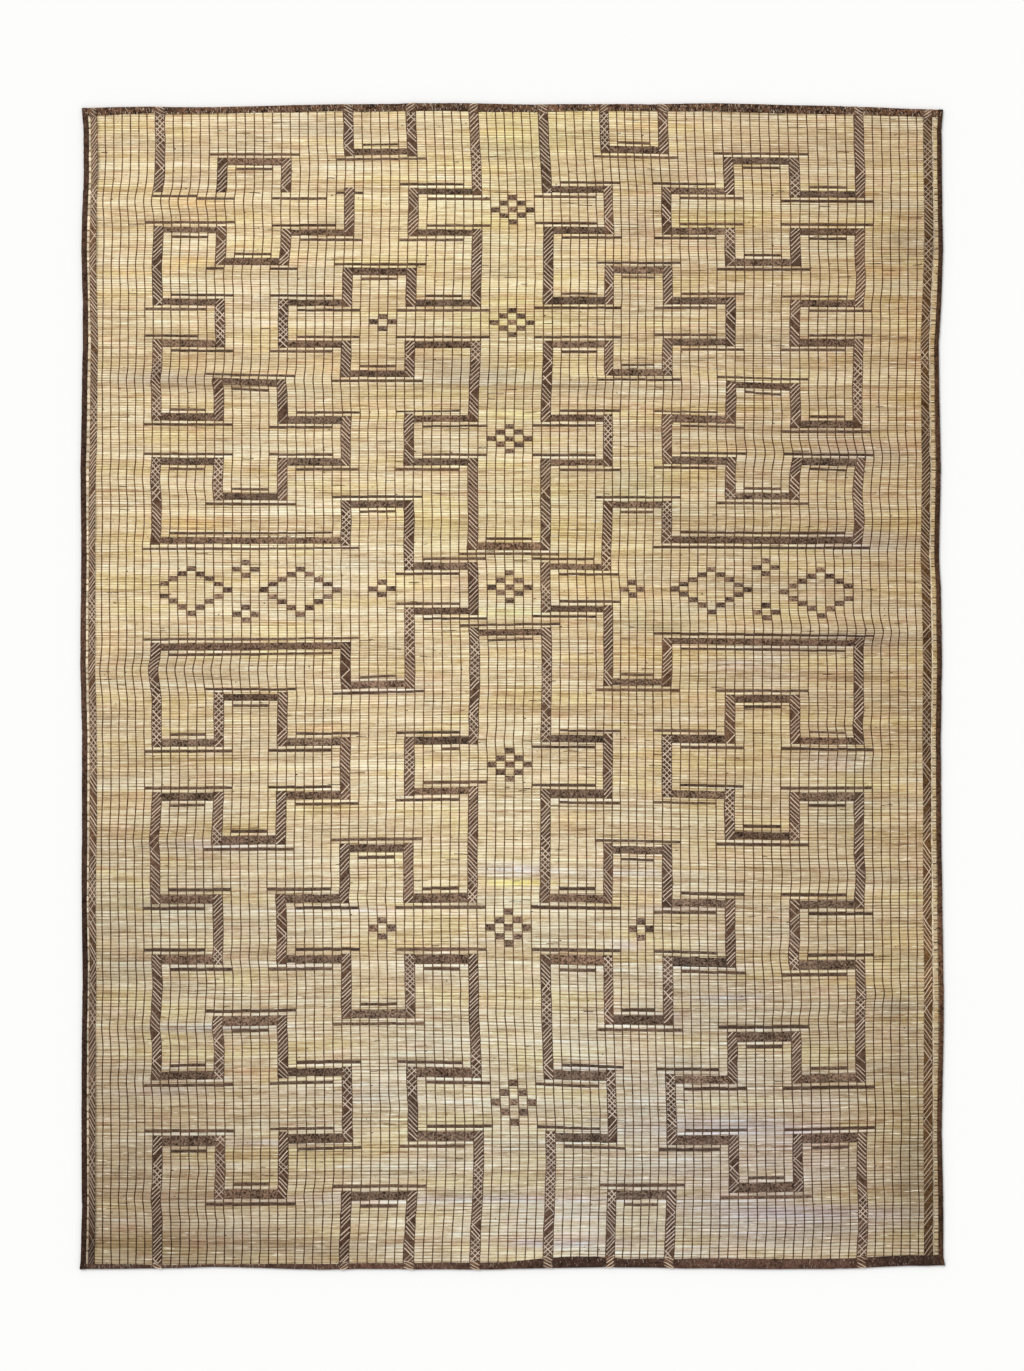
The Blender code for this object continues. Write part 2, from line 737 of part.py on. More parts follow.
def main():
    clear_scene()
    reed_field()
    bindings()
    side_braid("left_braid", left_place, LEFT_BRAID_INSET)
    side_braid("right_braid", right_place, RIGHT_BRAID_INSET)
    side_bands()
    centre_bands()
    end_keys()
    lozenges()


main()
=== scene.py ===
import bpy
import bmesh
import numpy as np
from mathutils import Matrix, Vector


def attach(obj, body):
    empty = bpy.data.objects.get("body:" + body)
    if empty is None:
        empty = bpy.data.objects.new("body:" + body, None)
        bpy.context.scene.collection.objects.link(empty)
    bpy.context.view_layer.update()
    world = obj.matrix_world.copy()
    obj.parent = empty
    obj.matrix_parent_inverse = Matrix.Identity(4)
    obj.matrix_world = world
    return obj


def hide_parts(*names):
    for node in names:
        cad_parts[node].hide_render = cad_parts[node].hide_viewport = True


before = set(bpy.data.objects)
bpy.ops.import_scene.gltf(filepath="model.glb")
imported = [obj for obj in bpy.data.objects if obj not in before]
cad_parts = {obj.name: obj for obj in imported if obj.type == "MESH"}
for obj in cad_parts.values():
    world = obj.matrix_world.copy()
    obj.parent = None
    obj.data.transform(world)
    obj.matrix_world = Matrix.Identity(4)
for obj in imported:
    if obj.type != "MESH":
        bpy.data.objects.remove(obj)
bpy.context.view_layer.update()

print("frame loaded")


# The weave. Everything is placed by column, from the left side, and by cane, from the head.
# Column 0 is the first thong and column 93 the last. Whole numbers are thongs and cane middles.
weave = {
    "halfLength": 1.3550,
    "firstThong": -0.9693,
    "columnWidths": (0.01923, 0.02057, 0.02106, 0.02110, 0.02107, 0.02121, 0.02090,
                     0.02097, 0.01922, 0.02084, 0.02129, 0.02147, 0.02050, 0.02050),
    "thongsPerRun": 7,
    "thongs": 94,
    "firstCane": 1.3525,
    "spacingAt": (0.0, 1.000, 1.250, 1.500, 1.800, 2.150, 2.705),
    "spacing": (0.00552, 0.00577, 0.00584, 0.00644, 0.00731, 0.00763, 0.00746),
    "canes": 424,
    "caneUnevenness": 0.00055,   # canes aren't all as wide as each other
    "seed": 11,
    "spare": 3,                  # thongs and canes that are counted past the first and the last
    "sideTuck": 0.0020,          # how far inside the edge the canes end
    "endTuck": 0.0030,
    "mirror": 92,                # column k on the left is column 92 - k on the right
    "braidBeyond": 0.6,          # columns from the last thong to the braid, which is one column wide
    "edgeBeyond": 2.0,           # and to the edge
}

# The sides: the edge, which way is inward, from the edge to the braid, the braid's width, and the
# columns of the two charts below that are this side's
sides = {
    "left": {
        "edge": -0.9995, "inward": 1, "braidIn": 0.0208, "braidWidth": 0.0152, "wander": 1, "detail": 1,
    },
    "right": {
        "edge": 0.9970, "inward": -1, "braidIn": 0.0247, "braidWidth": 0.0188, "wander": 2, "detail": 4,
    },
}

# Distance from the head, how far the left side stands out there, how far the right side does
sideWander = np.array([
    (0.0, -0.001, 0.0), (0.16, -0.0035, 0.001), (0.33, 0.001, 0.0035), (0.56, -0.0035, -0.006),
    (0.84, 0.0035, -0.001), (1.05, 0.001, -0.008), (1.3, 0.0035, 0.001), (1.69, -0.001, 0.0005),
    (2.045, -0.0035, 0.006), (2.37, -0.0005, 0.003), (2.71, 0.0035, 0.0035),
])

# The side strips vary: distance from the head; how far the left edge is drawn in, how far its braid is
# from there, how much wider the braid is; then the same for the right
sideDetail = np.array([
    (0.0, 0.0, -0.0005, -0.002, -0.0022, 0.001, 0.001),
    (0.05, 0.003, -0.0025, -0.002, 0.0014, -0.001, 0.001),
    (0.25, 0.0005, 0.0, -0.002, 0.0015, -0.002, 0.0015),
    (0.45, 0.0015, -0.0025, 0.0, 0.0005, 0.0005, 0.0), (0.6, -0.0005, 0.0, 0.0, 0.0022, -0.0005, -0.001),
    (0.8, 0.0016, 0.0015, -0.0005, 0.002, 0.002, -0.001),
    (1.0, 0.001, -0.002, -0.002, 0.0, -0.001, 0.0005),
    (1.12, 0.0005, -0.0015, -0.0005, -0.003, 0.001, 0.0005),
    (1.3, 0.001, -0.001, -0.0005, 0.001, 0.0005, 0.0), (1.47, 0.003, -0.0015, 0.0, 0.0037, 0.0, 0.0),
    (1.65, 0.0005, -0.0015, 0.001, 0.0025, 0.0, -0.0015),
    (1.85, -0.0018, -0.003, 0.0, 0.0023, 0.0015, 0.0),
    (2.0, -0.0005, -0.003, -0.001, 0.0028, 0.0015, -0.0005),
    (2.15, -0.0018, -0.0032, 0.0, 0.001, 0.003, 0.0), (2.4, 0.0, -0.002, -0.002, 0.0038, -0.0025, 0.002),
    (2.57, 0.003, -0.003, -0.0025, 0.0005, 0.0005, 0.001),
    (2.69, 0.0015, -0.002, -0.0025, 0.0007, 0.001, 0.001),
    (2.71, -0.0005, -0.001, -0.0025, -0.0032, 0.004, 0.001),
])

# The ends: which way is outward, and the column of the two charts below that is this end's
ends = {"head": {"outward": 1, "part": 1}, "foot": {"outward": -1, "part": 2}}

# Thong, how far the head end stands back there, how far the foot end does
endWander = np.array([
    (-2, 0.014, 0.0023), (7, 0.0081, 0.0035), (14, 0.0081, 0.0065), (21, 0.0058, 0.004),
    (28, 0.0023, 0.0), (35, 0.0012, 0.001), (42, 0.0012, 0.001), (49, 0.003, 0.004), (56, 0.0028, 0.0046),
    (63, 0.0012, 0.003), (70, 0.0, 0.0046), (77, 0.0042, 0.0023), (84, 0.0079, 0.0023),
    (91, 0.0128, 0.01), (96, 0.016, 0.0145),
])

# The ends again, finer: place across, how much further back the head edge is, and the foot edge
endDetail = np.array([
    (-0.92, 0.0, 0.0014), (-0.85, 0.0014, 0.002), (-0.78, 0.0032, 0.0014), (-0.7, 0.003, 0.0024),
    (-0.6, 0.0024, 0.0018), (-0.5, 0.0012, 0.0007), (-0.43, 0.0018, 0.0014), (-0.36, 0.0023, 0.004),
    (-0.29, 0.002, 0.0032), (-0.22, 0.0003, 0.002), (-0.15, 0.0003, 0.0026), (-0.08, 0.001, 0.001),
    (-0.01, 0.0016, 0.0008), (0.05, 0.0022, 0.0012), (0.12, 0.0012, 0.0022), (0.2, 0.0012, 0.0032),
    (0.27, 0.002, 0.0038), (0.33, 0.003, 0.0044), (0.4, 0.0022, 0.0014), (0.55, 0.0016, 0.0006),
    (0.65, 0.0017, 0.0018), (0.75, 0.001, 0.002), (0.85, 0.0014, 0.0024), (0.92, 0.0019, 0.0016),
    (0.96, 0.0019, -0.0006),
])

# Where the weave is pulled out of true: middle across, middle along, reach across, reach along, and how
# far it is pulled, to the right or towards the head. The last rows to the right are narrow creases
pulls = {
    "right": (
        (-0.654, 1.243, 0.58, 0.255, 0.0088), (0.297, 1.36, 0.51, 0.186, -0.0116),
        (-0.028, 1.011, 0.348, 0.209, 0.0053), (-0.84, 0.032, 0.348, 0.046, -0.0058),
        (-0.608, -0.404, 0.464, 0.139, -0.0046), (0.807, 0.246, 0.302, 0.116, -0.0058),
        (0.854, 0.652, 0.209, 0.116, -0.0053), (0.251, -1.076, 0.603, 0.255, 0.0097),
        (0.807, -1.262, 0.278, 0.139, 0.0046), (0.645, -0.74, 0.278, 0.116, 0.0039),
        (-0.237, 0.432, 0.232, 0.255, -0.0032), (-0.329, -1.308, 0.232, 0.116, -0.007),
        (-0.13, 1.209, 0.16, 0.174, 0.0039), (0.81, 1.197, 0.2, 0.174, 0.0051),
        (-0.86, 1.123, 0.19, 0.042, -0.006), (-0.52, 1.044, 0.14, 0.037, 0.0037),
        (-0.85, 0.984, 0.12, 0.037, -0.0028), (-0.29, 0.849, 0.07, 0.186, -0.0019),
        (0.74, 0.942, 0.15, 0.056, 0.0049), (-0.75, 0.803, 0.21, 0.081, 0.0028),
        (0.0, 0.78, 0.17, 0.104, 0.0039), (0.41, 0.691, 0.14, 0.032, 0.0026),
        (0.68, 0.636, 0.14, 0.042, 0.0049), (0.73, 0.538, 0.17, 0.03, 0.0086),
        (-0.82, 0.483, 0.16, 0.03, -0.0032), (0.85, 0.45, 0.09, 0.032, -0.0026),
        (0.71, 0.728, 0.08, 0.051, 0.0026), (0.71, 0.385, 0.19, 0.028, 0.0028),
        (-0.35, 0.385, 0.21, 0.03, 0.0023), (-0.86, 0.234, 0.2, 0.116, -0.0032),
        (0.23, 0.292, 0.12, 0.065, -0.0042), (-0.03, 0.042, 0.2, 0.097, 0.003),
        (0.71, 0.135, 0.2, 0.028, 0.006), (0.84, 0.223, 0.09, 0.037, 0.0026),
        (-0.84, -0.23, 0.14, 0.081, 0.0021), (-0.45, -0.183, 0.16, 0.093, -0.0021),
        (0.39, -0.037, 0.1, 0.058, -0.0019), (0.71, -0.125, 0.08, 0.028, 0.003),
        (0.52, -0.283, 0.12, 0.07, -0.0019), (0.73, -0.432, 0.14, 0.035, 0.0037),
        (-0.03, -0.508, 0.16, 0.162, -0.003), (0.85, -0.566, 0.08, 0.162, 0.0026),
        (0.66, -0.631, 0.09, 0.028, -0.0042), (-0.77, -0.789, 0.26, 0.026, -0.0039),
        (0.64, -0.789, 0.12, 0.026, -0.0023), (-0.79, -0.687, 0.14, 0.028, 0.0023),
        (-0.09, -1.1, 0.22, 0.244, 0.0044), (-0.7, -1.03, 0.14, 0.081, 0.0032),
        (-0.72, -1.285, 0.14, 0.051, 0.0032), (0.33, -1.076, 0.08, 0.255, 0.0021),
        (0.81, -0.984, 0.14, 0.081, 0.0046), (0.68, -1.25, 0.16, 0.081, 0.0039),
        (0.41, 1.081, 0.1, 0.046, -0.0026), (-0.42, 1.202, 0.14, 0.035, 0.0023),
        (-0.49, -0.026, 0.39, 0.023, 0.0016), (-0.49, 0.538, 0.19, 0.026, 0.0019),
        (-0.75, 1.125, 0.139, 0.021, -0.0039), (-0.63, 0.954, 0.116, 0.028, -0.0032),
        (-0.61, 0.71, 0.325, 0.021, -0.0042), (0.22, 0.71, 0.093, 0.019, 0.0028),
        (-0.38, 0.631, 0.186, 0.021, 0.0026), (0.56, 0.55, 0.093, 0.023, 0.003),
        (-0.71, 0.459, 0.093, 0.019, -0.0026), (-0.79, 0.327, 0.139, 0.023, -0.0028),
        (-0.07, 0.313, 0.051, 0.023, -0.0035), (0.75, 0.32, 0.139, 0.019, -0.003),
        (0.4, 0.227, 0.058, 0.032, -0.0026), (0.85, 0.125, 0.051, 0.019, 0.0037),
        (-0.77, 0.042, 0.162, 0.019, -0.0035), (0.8, -0.088, 0.081, 0.021, -0.003),
        (0.81, -0.151, 0.081, 0.019, 0.003), (-0.02, -0.13, 0.081, 0.021, -0.0028),
        (-0.78, -0.353, 0.139, 0.021, -0.0032), (-0.41, -0.492, 0.139, 0.021, -0.0032),
        (-0.61, -0.629, 0.116, 0.021, -0.0032), (0.62, -0.608, 0.051, 0.023, -0.0028),
        (0.67, -0.766, 0.093, 0.023, -0.0039), (-0.02, -0.761, 0.081, 0.028, -0.0028),
        (-0.81, -0.916, 0.128, 0.023, -0.0035), (-0.29, -0.979, 0.058, 0.021, 0.0028),
        (-0.72, -1.114, 0.093, 0.021, 0.0028), (-0.86, -1.179, 0.07, 0.021, -0.0032),
        (-0.47, -1.174, 0.093, 0.021, -0.0035), (-0.71, -1.234, 0.093, 0.019, 0.003),
        (0.85, -0.71, 0.051, 0.019, 0.0035), (0.85, 0.889, 0.051, 0.023, -0.0028),
        (0.42, 1.021, 0.081, 0.028, -0.0026),
    ),
    "up": (
        (0.9, 1.336, 0.58, 0.278, -0.0104), (-0.84, 1.313, 0.58, 0.139, 0.0046),
        (-0.956, 0.664, 0.278, 0.464, 0.0035), (0.807, 0.501, 0.464, 0.302, -0.0046),
        (-0.051, -0.311, 0.371, 0.348, 0.0046), (-0.886, -0.218, 0.418, 0.232, -0.0035),
        (0.738, -0.404, 0.348, 0.278, -0.0044), (-0.283, -0.844, 0.325, 0.162, 0.0063),
        (0.39, -0.798, 0.394, 0.232, -0.0051), (-0.724, -1.239, 0.464, 0.209, -0.0074),
        (0.97, -1.169, 0.302, 0.209, 0.0097),
    ),
}

# Smaller ripples over all of it: how far, reach across, reach along, where the noise starts, and seed
ripples = {
    "right": ((0.0006, 0.30, 0.050, 9, 70, 1), (0.0008, 0.012, 0.035, 90, 70, 2)),
    "up": ((0.0007, 0.20, 0.30, 9, 9, 3),),
}


def softNoise(x, y, seed):
    # Smooth noise between -1 and 1, one lattice cell to each unit of x and y
    size = 256
    lattice = np.random.default_rng(seed).uniform(-1, 1, (size, size))
    x0 = np.floor(x).astype(int)
    y0 = np.floor(y).astype(int)
    fx = x - x0
    fy = y - y0
    fx = fx * fx * (3 - 2 * fx)
    fy = fy * fy * (3 - 2 * fy)

    def level(j):
        row = (y0 + j) % size
        return lattice[x0 % size, row] * (1 - fx) + lattice[(x0 + 1) % size, row] * fx

    return level(0) * (1 - fy) + level(1) * fy


def softShare(x, y, row):
    # 1 at the middle of a soft oval, and less and less away from it
    midX, midY, reachX, reachY = row[:4]
    return np.exp(-((x - midX) / reachX) ** 2 - ((y - midY) / reachY) ** 2)


def chartAt(chart, place, part):
    # A chart's value at a place, which is looked up in its first column
    return np.interp(place, chart[:, 0], chart[:, part])


def fromHead(y):
    return weave["halfLength"] - y


def caneSpacing(place):
    return float(np.interp(place, weave["spacingAt"], weave["spacing"]))


spare = weave["spare"]
stepWidths = np.repeat(weave["columnWidths"], weave["thongsPerRun"])
thongNumbers = np.arange(-spare, len(stepWidths) + 1)
thongPlaces = weave["firstThong"] + np.concatenate([
    np.arange(-spare, 0) * stepWidths[0], [0.0], np.cumsum(stepWidths)])

canePlaces = [0.0]
while len(canePlaces) < weave["canes"] + 2 * spare:
    canePlaces.append(canePlaces[-1] + caneSpacing(canePlaces[-1]))
canePlaces = [step * canePlaces[1] for step in range(-spare, 0)] + canePlaces
caneNumbers = np.arange(-spare, len(canePlaces) - spare)
unevenCanes = np.random.default_rng(weave["seed"]).uniform(-1, 1, len(canePlaces)) * weave["caneUnevenness"]
canePlaces = np.array(canePlaces) + unevenCanes


def sideEdge(name, y):
    side = sides[name]
    down = fromHead(y)
    stands = chartAt(sideWander, down, side["wander"]) - chartAt(sideDetail, down, side["detail"])
    return side["edge"] - side["inward"] * stands


endPoints = np.interp(endWander[:, 0], thongNumbers, thongPlaces)


def endEdge(name, x):
    end = ends[name]
    back = np.interp(x, endPoints, endWander[:, end["part"]]) + chartAt(endDetail, x, end["part"])
    return end["outward"] * (weave["halfLength"] - back)


def pullAt(x, y, way):
    # How far the weave is pulled at a place, to the right or up
    pulled = np.zeros(np.broadcast(x, y).shape)
    for row in pulls[way]:
        pulled += row[4] * softShare(x, y, row)
    for far, reachX, reachY, startX, startY, seed in ripples[way]:
        pulled += far * softNoise(x / reachX + startX, y / reachY + startY, seed)
    return pulled


lastThong = weave["thongs"] - 1
sideColumns = {
    "leftEdge": -weave["edgeBeyond"], "leftBraid": -weave["braidBeyond"] - 1,
    "rightBraid": lastThong + weave["braidBeyond"], "rightEdge": lastThong + weave["edgeBeyond"],
}


def weaveAt(column, cane):
    # The place on the mat of a column and a cane, both as arrays of numbers
    column, cane = np.broadcast_arrays(np.asarray(column, float), np.asarray(cane, float))
    x = np.interp(np.clip(column, 0, lastThong), thongNumbers, thongPlaces)
    y = weave["firstCane"] - np.interp(cane, caneNumbers, canePlaces)
    x, y = x + pullAt(x, y, "right"), y + pullAt(x, y, "up")
    for name, beyond in (("left", -column), ("right", column - lastThong)):
        # Past the last thong: a strip of canes, the braid and another strip of canes
        side = sides[name]
        inward = side["inward"]
        detail = [chartAt(sideDetail, fromHead(y), side["detail"] + part) for part in (1, 2)]
        edge = sideEdge(name, y)
        outer = edge + inward * (side["braidIn"] + detail[0])
        inner = outer + inward * (side["braidWidth"] + detail[1])
        tuck = edge + inward * weave["sideTuck"]
        braid = weave["braidBeyond"]
        strips = (
            (0, braid, x, inner), (braid, braid + 1, inner, outer),
            (braid + 1, weave["edgeBeyond"], outer, tuck),
        )
        for start, end, fromX, toX in strips:
            x = np.where(beyond > start, fromX + (toX - fromX) * (beyond - start) / (end - start), x)
    y = np.clip(y, endEdge("foot", x) + weave["endTuck"], endEdge("head", x) - weave["endTuck"])
    return x, y


# Broad changes of tint over the canes: partly colour from sun, wear and water, and partly painted light,
# paler to the upper left and darker to the right: middle across, middle along, reach across, reach along,
# and how much red, green and blue are kept at the middle
stainsAndPaintedLight = (
    (1.00, 0.00, 0.62, 1.60, 0.755, 0.720, 0.680),   # the right side is browner, and darker with painted shade
    (-0.95, -1.25, 0.62, 0.36, 0.60, 0.56, 0.55),    # brown corner at the foot, left
    (0.95, -1.15, 0.30, 0.42, 0.78, 0.77, 0.77),     # and at the foot, right
    (0.88, -1.02, 0.13, 0.10, 1.03, 1.00, 0.84),
    (0.40, -1.10, 0.55, 0.40, 0.83, 0.88, 1.00),     # violet grey near the foot
    (0.00, -0.95, 0.95, 0.75, 0.96, 1.02, 1.11),     # the lower half is cooler
    (-0.95, -0.60, 0.42, 0.55, 0.80, 0.81, 0.83),
    (-0.60, 1.15, 0.60, 0.30, 1.05, 1.05, 1.03),     # the head is paler on the left, with painted light
    (0.0, 1.20, 0.40, 0.30, 1.05, 1.07, 1.04),
    (-0.35, 0.35, 0.30, 0.45, 1.08, 1.11, 1.11),
    (-0.85, 0.70, 0.25, 0.90, 1.03, 1.04, 1.02),
    (0.0, 0.85, 0.10, 0.60, 1.02, 1.04, 0.97),       # yellow-green down the centre
    (0.0, -0.35, 0.11, 0.45, 1.04, 1.06, 1.04),
    (-0.30, -0.25, 0.25, 0.22, 1.05, 1.06, 1.06),
)

# Streaks along a few canes, in the same columns
streaks = (
    # washed bluish or violet, and one yellow
    (0.02, -0.425, 0.085, 0.015, 0.98, 1.04, 1.45),
    (0.02, -0.455, 0.08, 0.007, 1.1, 1.08, 0.6), (0.53, 0.052, 0.1, 0.018, 0.97, 1.02, 1.3),
    (0.62, -0.02, 0.11, 0.01, 1.02, 1.05, 1.24), (0.75, -0.172, 0.085, 0.02, 1.04, 1.07, 1.28),
    (0.62, 0.022, 0.06, 0.008, 1.03, 1.06, 1.25), (0.26, -0.432, 0.11, 0.013, 0.97, 1.02, 1.25),
    (0.38, -0.51, 0.11, 0.01, 0.95, 0.98, 1.22), (0.26, -0.6, 0.04, 0.01, 0.96, 1.0, 1.2),
    (0.52, -0.722, 0.09, 0.01, 0.94, 0.97, 1.2), (0.37, -0.77, 0.07, 0.01, 0.96, 0.99, 1.18),
    (-0.77, -0.366, 0.19, 0.008, 0.94, 0.96, 1.14), (-0.45, -0.515, 0.18, 0.008, 0.94, 0.96, 1.16),
    (-0.83, -0.505, 0.13, 0.007, 0.92, 0.94, 1.14), (-0.74, -0.794, 0.2, 0.009, 0.84, 0.88, 1.08),
    (-0.8, -0.94, 0.14, 0.009, 0.9, 0.91, 1.08), (-0.62, -1.058, 0.15, 0.009, 0.9, 0.9, 1.1),
    (0.15, -0.89, 0.09, 0.01, 0.95, 0.97, 1.15), (0.48, -1.02, 0.26, 0.02, 0.9, 0.89, 1.02),
    (0.7, -1.218, 0.23, 0.016, 0.86, 0.84, 1.02), (-0.1, -1.187, 0.5, 0.008, 0.92, 0.9, 1.08),
    (0.06, -1.29, 0.16, 0.009, 0.9, 0.88, 1.1),
    # small orange stains
    (-0.73, 1.12, 0.06, 0.015, 1.04, 0.88, 0.66), (-0.75, 0.985, 0.06, 0.009, 1.04, 0.92, 0.76),
    (0.3, 1.3, 0.09, 0.012, 1.03, 0.95, 0.82), (0.25, 1.01, 0.14, 0.012, 1.03, 0.94, 0.8),
    (0.87, 0.965, 0.06, 0.012, 1.03, 0.92, 0.76), (-0.47, 0.735, 0.27, 0.014, 1.02, 0.94, 0.82),
    (0.81, 0.56, 0.16, 0.018, 1.03, 0.92, 0.86), (-0.73, 0.38, 0.1, 0.01, 1.04, 0.94, 0.8),
    (0.15, 0.215, 0.05, 0.01, 1.04, 0.94, 0.8), (0.27, 0.095, 0.08, 0.03, 1.03, 0.94, 0.84),
    (-0.45, -0.097, 0.08, 0.01, 1.03, 0.95, 0.84), (-0.55, -0.438, 0.13, 0.009, 1.03, 0.95, 0.84),
    (-0.6, -0.89, 0.1, 0.01, 1.03, 0.94, 0.84), (0.78, -0.686, 0.12, 0.01, 1.04, 0.95, 0.74),
    # olive and yellow
    (0.06, 1.275, 0.14, 0.04, 0.98, 1.03, 0.92), (0.5, 1.09, 0.12, 0.02, 1.0, 1.04, 0.88),
    (-0.02, 0.85, 0.23, 0.016, 1.0, 1.04, 0.88), (0.0, 0.63, 0.08, 0.012, 1.01, 1.05, 0.86),
    (-0.17, 0.37, 0.06, 0.05, 0.99, 1.03, 0.9), (0.0, 0.172, 0.08, 0.012, 0.97, 1.06, 0.88),
)

# Painted soft shadows where the mat is creased, painted light along its folds, and patches where it is
# worn, in the same columns
creaseShadeAndPatches = (
    (-0.77, 0.715, 0.186, 0.032, 0.82, 0.8, 0.82), (-0.42, 0.696, 0.162, 0.023, 0.88, 0.88, 0.84),
    (-0.09, 0.719, 0.139, 0.042, 0.7, 0.7, 0.76), (0.11, 0.696, 0.093, 0.028, 0.88, 0.88, 0.9),
    (-0.79, 0.049, 0.174, 0.032, 0.82, 0.8, 0.8), (-0.75, 1.192, 0.07, 0.042, 0.9, 0.87, 0.94),
    (-0.85, 1.035, 0.139, 0.032, 0.96, 0.93, 0.9), (-0.76, 0.907, 0.058, 0.032, 0.9, 0.92, 0.97),
    (0.32, 1.179, 0.111, 0.03, 0.86, 0.84, 0.84), (0.44, 1.244, 0.07, 0.07, 0.95, 0.92, 0.91),
    (0.91, 1.023, 0.065, 0.102, 0.76, 0.76, 0.8), (0.06, 0.571, 0.139, 0.032, 0.9, 0.86, 0.86),
    (-0.09, 0.432, 0.032, 0.116, 0.88, 0.87, 0.86), (0.78, 0.557, 0.186, 0.037, 0.86, 0.86, 0.92),
    (0.29, 0.455, 0.093, 0.06, 0.88, 0.94, 1.0), (0.76, 0.346, 0.186, 0.03, 0.86, 0.87, 0.96),
    (0.8, 0.111, 0.139, 0.023, 0.82, 0.82, 0.88), (0.33, 0.148, 0.104, 0.037, 0.84, 0.86, 0.8),
    (0.18, 0.258, 0.093, 0.074, 1.02, 0.97, 0.82), (0.39, 0.014, 0.116, 0.051, 0.98, 0.94, 0.82),
    (0.44, -0.264, 0.079, 0.06, 0.96, 0.95, 0.84), (0.58, -0.121, 0.07, 0.051, 1.03, 1.01, 0.86),
    (0.88, -0.183, 0.06, 0.042, 1.02, 0.98, 0.84), (0.87, -0.65, 0.079, 0.032, 0.97, 0.94, 0.76),
    (0.9, -0.742, 0.06, 0.023, 0.84, 0.88, 0.98), (0.91, -0.891, 0.051, 0.162, 0.86, 0.84, 0.86),
    (0.93, -1.134, 0.046, 0.139, 0.74, 0.74, 0.74), (0.41, -1.141, 0.139, 0.032, 0.9, 0.86, 0.88),
    (0.48, -1.25, 0.394, 0.046, 0.89, 0.9, 1.06), (-0.72, -1.281, 0.255, 0.042, 0.84, 0.81, 0.8),
    (-0.84, -0.905, 0.186, 0.032, 0.9, 0.87, 0.86), (-0.77, -0.508, 0.209, 0.028, 0.9, 0.93, 0.95),
    (-0.91, -0.654, 0.07, 0.037, 0.86, 0.86, 0.84), (-0.84, 0.316, 0.139, 0.03, 0.9, 0.87, 0.84),
    (-0.76, 0.501, 0.093, 0.032, 0.9, 0.88, 0.92), (-0.89, -0.276, 0.102, 0.051, 1.02, 0.96, 0.88),
    (-0.61, 0.844, 0.07, 0.06, 1.02, 1.05, 1.16), (-0.49, 1.302, 0.128, 0.051, 1.04, 1.06, 1.12),
    (-0.2, 1.1, 0.093, 0.051, 1.08, 1.11, 1.08), (0.13, 1.29, 0.046, 0.056, 1.07, 1.08, 1.05),
    (0.59, 1.093, 0.139, 0.046, 1.07, 1.07, 1.04), (-0.12, 0.984, 0.093, 0.032, 0.98, 0.99, 1.1),
    (0.54, 0.362, 0.079, 0.116, 1.02, 1.06, 1.12), (0.63, 0.752, 0.093, 0.032, 0.98, 1.01, 1.12),
    (0.59, 0.072, 0.06, 0.032, 1.01, 1.05, 1.18), (0.77, -0.311, 0.093, 0.093, 1.03, 1.06, 1.1),
    (-0.41, 0.258, 0.104, 0.056, 0.98, 1.01, 1.1), (-0.49, 0.473, 0.079, 0.028, 1.0, 1.04, 1.14),
    (0.71, -1.03, 0.093, 0.093, 1.04, 1.02, 1.1), (0.44, -0.636, 0.139, 0.139, 0.99, 1.02, 1.1),
    (-0.26, -0.926, 0.139, 0.162, 1.01, 1.04, 1.07), (0.2, 0.385, 0.255, 0.128, 0.98, 0.99, 0.92),
    (0.08, 0.455, 0.065, 0.023, 1.05, 1.03, 0.86), (0.34, -0.009, 0.139, 0.084, 0.96, 0.95, 0.92),
    (0.85, 1.012, 0.116, 0.139, 1.0, 0.97, 0.88), (0.93, 0.664, 0.051, 0.348, 1.03, 0.98, 0.9),
    (-0.49, 1.255, 0.232, 0.07, 0.98, 1.0, 1.05), (-0.79, -1.313, 0.371, 0.032, 0.78, 0.77, 0.76),
    (-0.42, -1.308, 0.139, 0.028, 0.86, 0.84, 0.84), (0.62, -1.076, 0.255, 0.139, 1.0, 0.98, 1.06),
    (0.78, -0.241, 0.051, 0.128, 0.98, 1.05, 1.08), (0.49, -0.735, 0.084, 0.042, 1.0, 1.05, 1.1),
    (-0.17, -0.462, 0.051, 0.042, 1.07, 1.07, 0.98), (-0.01, -0.45, 0.042, 0.028, 1.02, 1.06, 1.12),
    (0.34, -0.45, 0.046, 0.028, 1.02, 1.06, 1.12), (-0.63, -0.38, 0.209, 0.021, 0.92, 0.93, 1.0),
    (-0.62, -0.645, 0.186, 0.021, 0.93, 0.93, 1.0), (-0.72, -0.496, 0.232, 0.042, 0.95, 0.94, 0.96),
    (-0.1, 0.239, 0.046, 0.028, 0.9, 0.82, 0.86), (-0.94, 0.084, 0.042, 0.051, 1.05, 1.0, 0.94),
    (0.3, -0.868, 0.051, 0.084, 1.04, 0.98, 0.94), (0.73, -0.914, 0.032, 0.028, 1.07, 1.06, 0.98),
    (0.3, 1.07, 0.056, 0.074, 0.9, 0.87, 0.9), (0.11, 1.058, 0.093, 0.065, 0.96, 0.93, 0.92),
    (-0.29, 0.844, 0.139, 0.03, 0.92, 0.89, 0.88), (-0.79, 0.715, 0.139, 0.023, 0.88, 0.86, 0.88),
    (-0.21, 0.687, 0.139, 0.023, 0.9, 0.88, 0.88), (0.71, 0.543, 0.209, 0.023, 0.92, 0.92, 0.98),
    (0.81, 0.107, 0.116, 0.021, 0.92, 0.9, 0.94), (-0.75, 0.032, 0.209, 0.023, 0.92, 0.9, 0.9),
    (0.81, 0.332, 0.139, 0.023, 0.9, 0.9, 0.96), (-0.33, -0.009, 0.093, 0.032, 0.94, 0.92, 1.04),
    (-0.38, -0.942, 0.162, 0.028, 0.94, 0.94, 1.02),
)


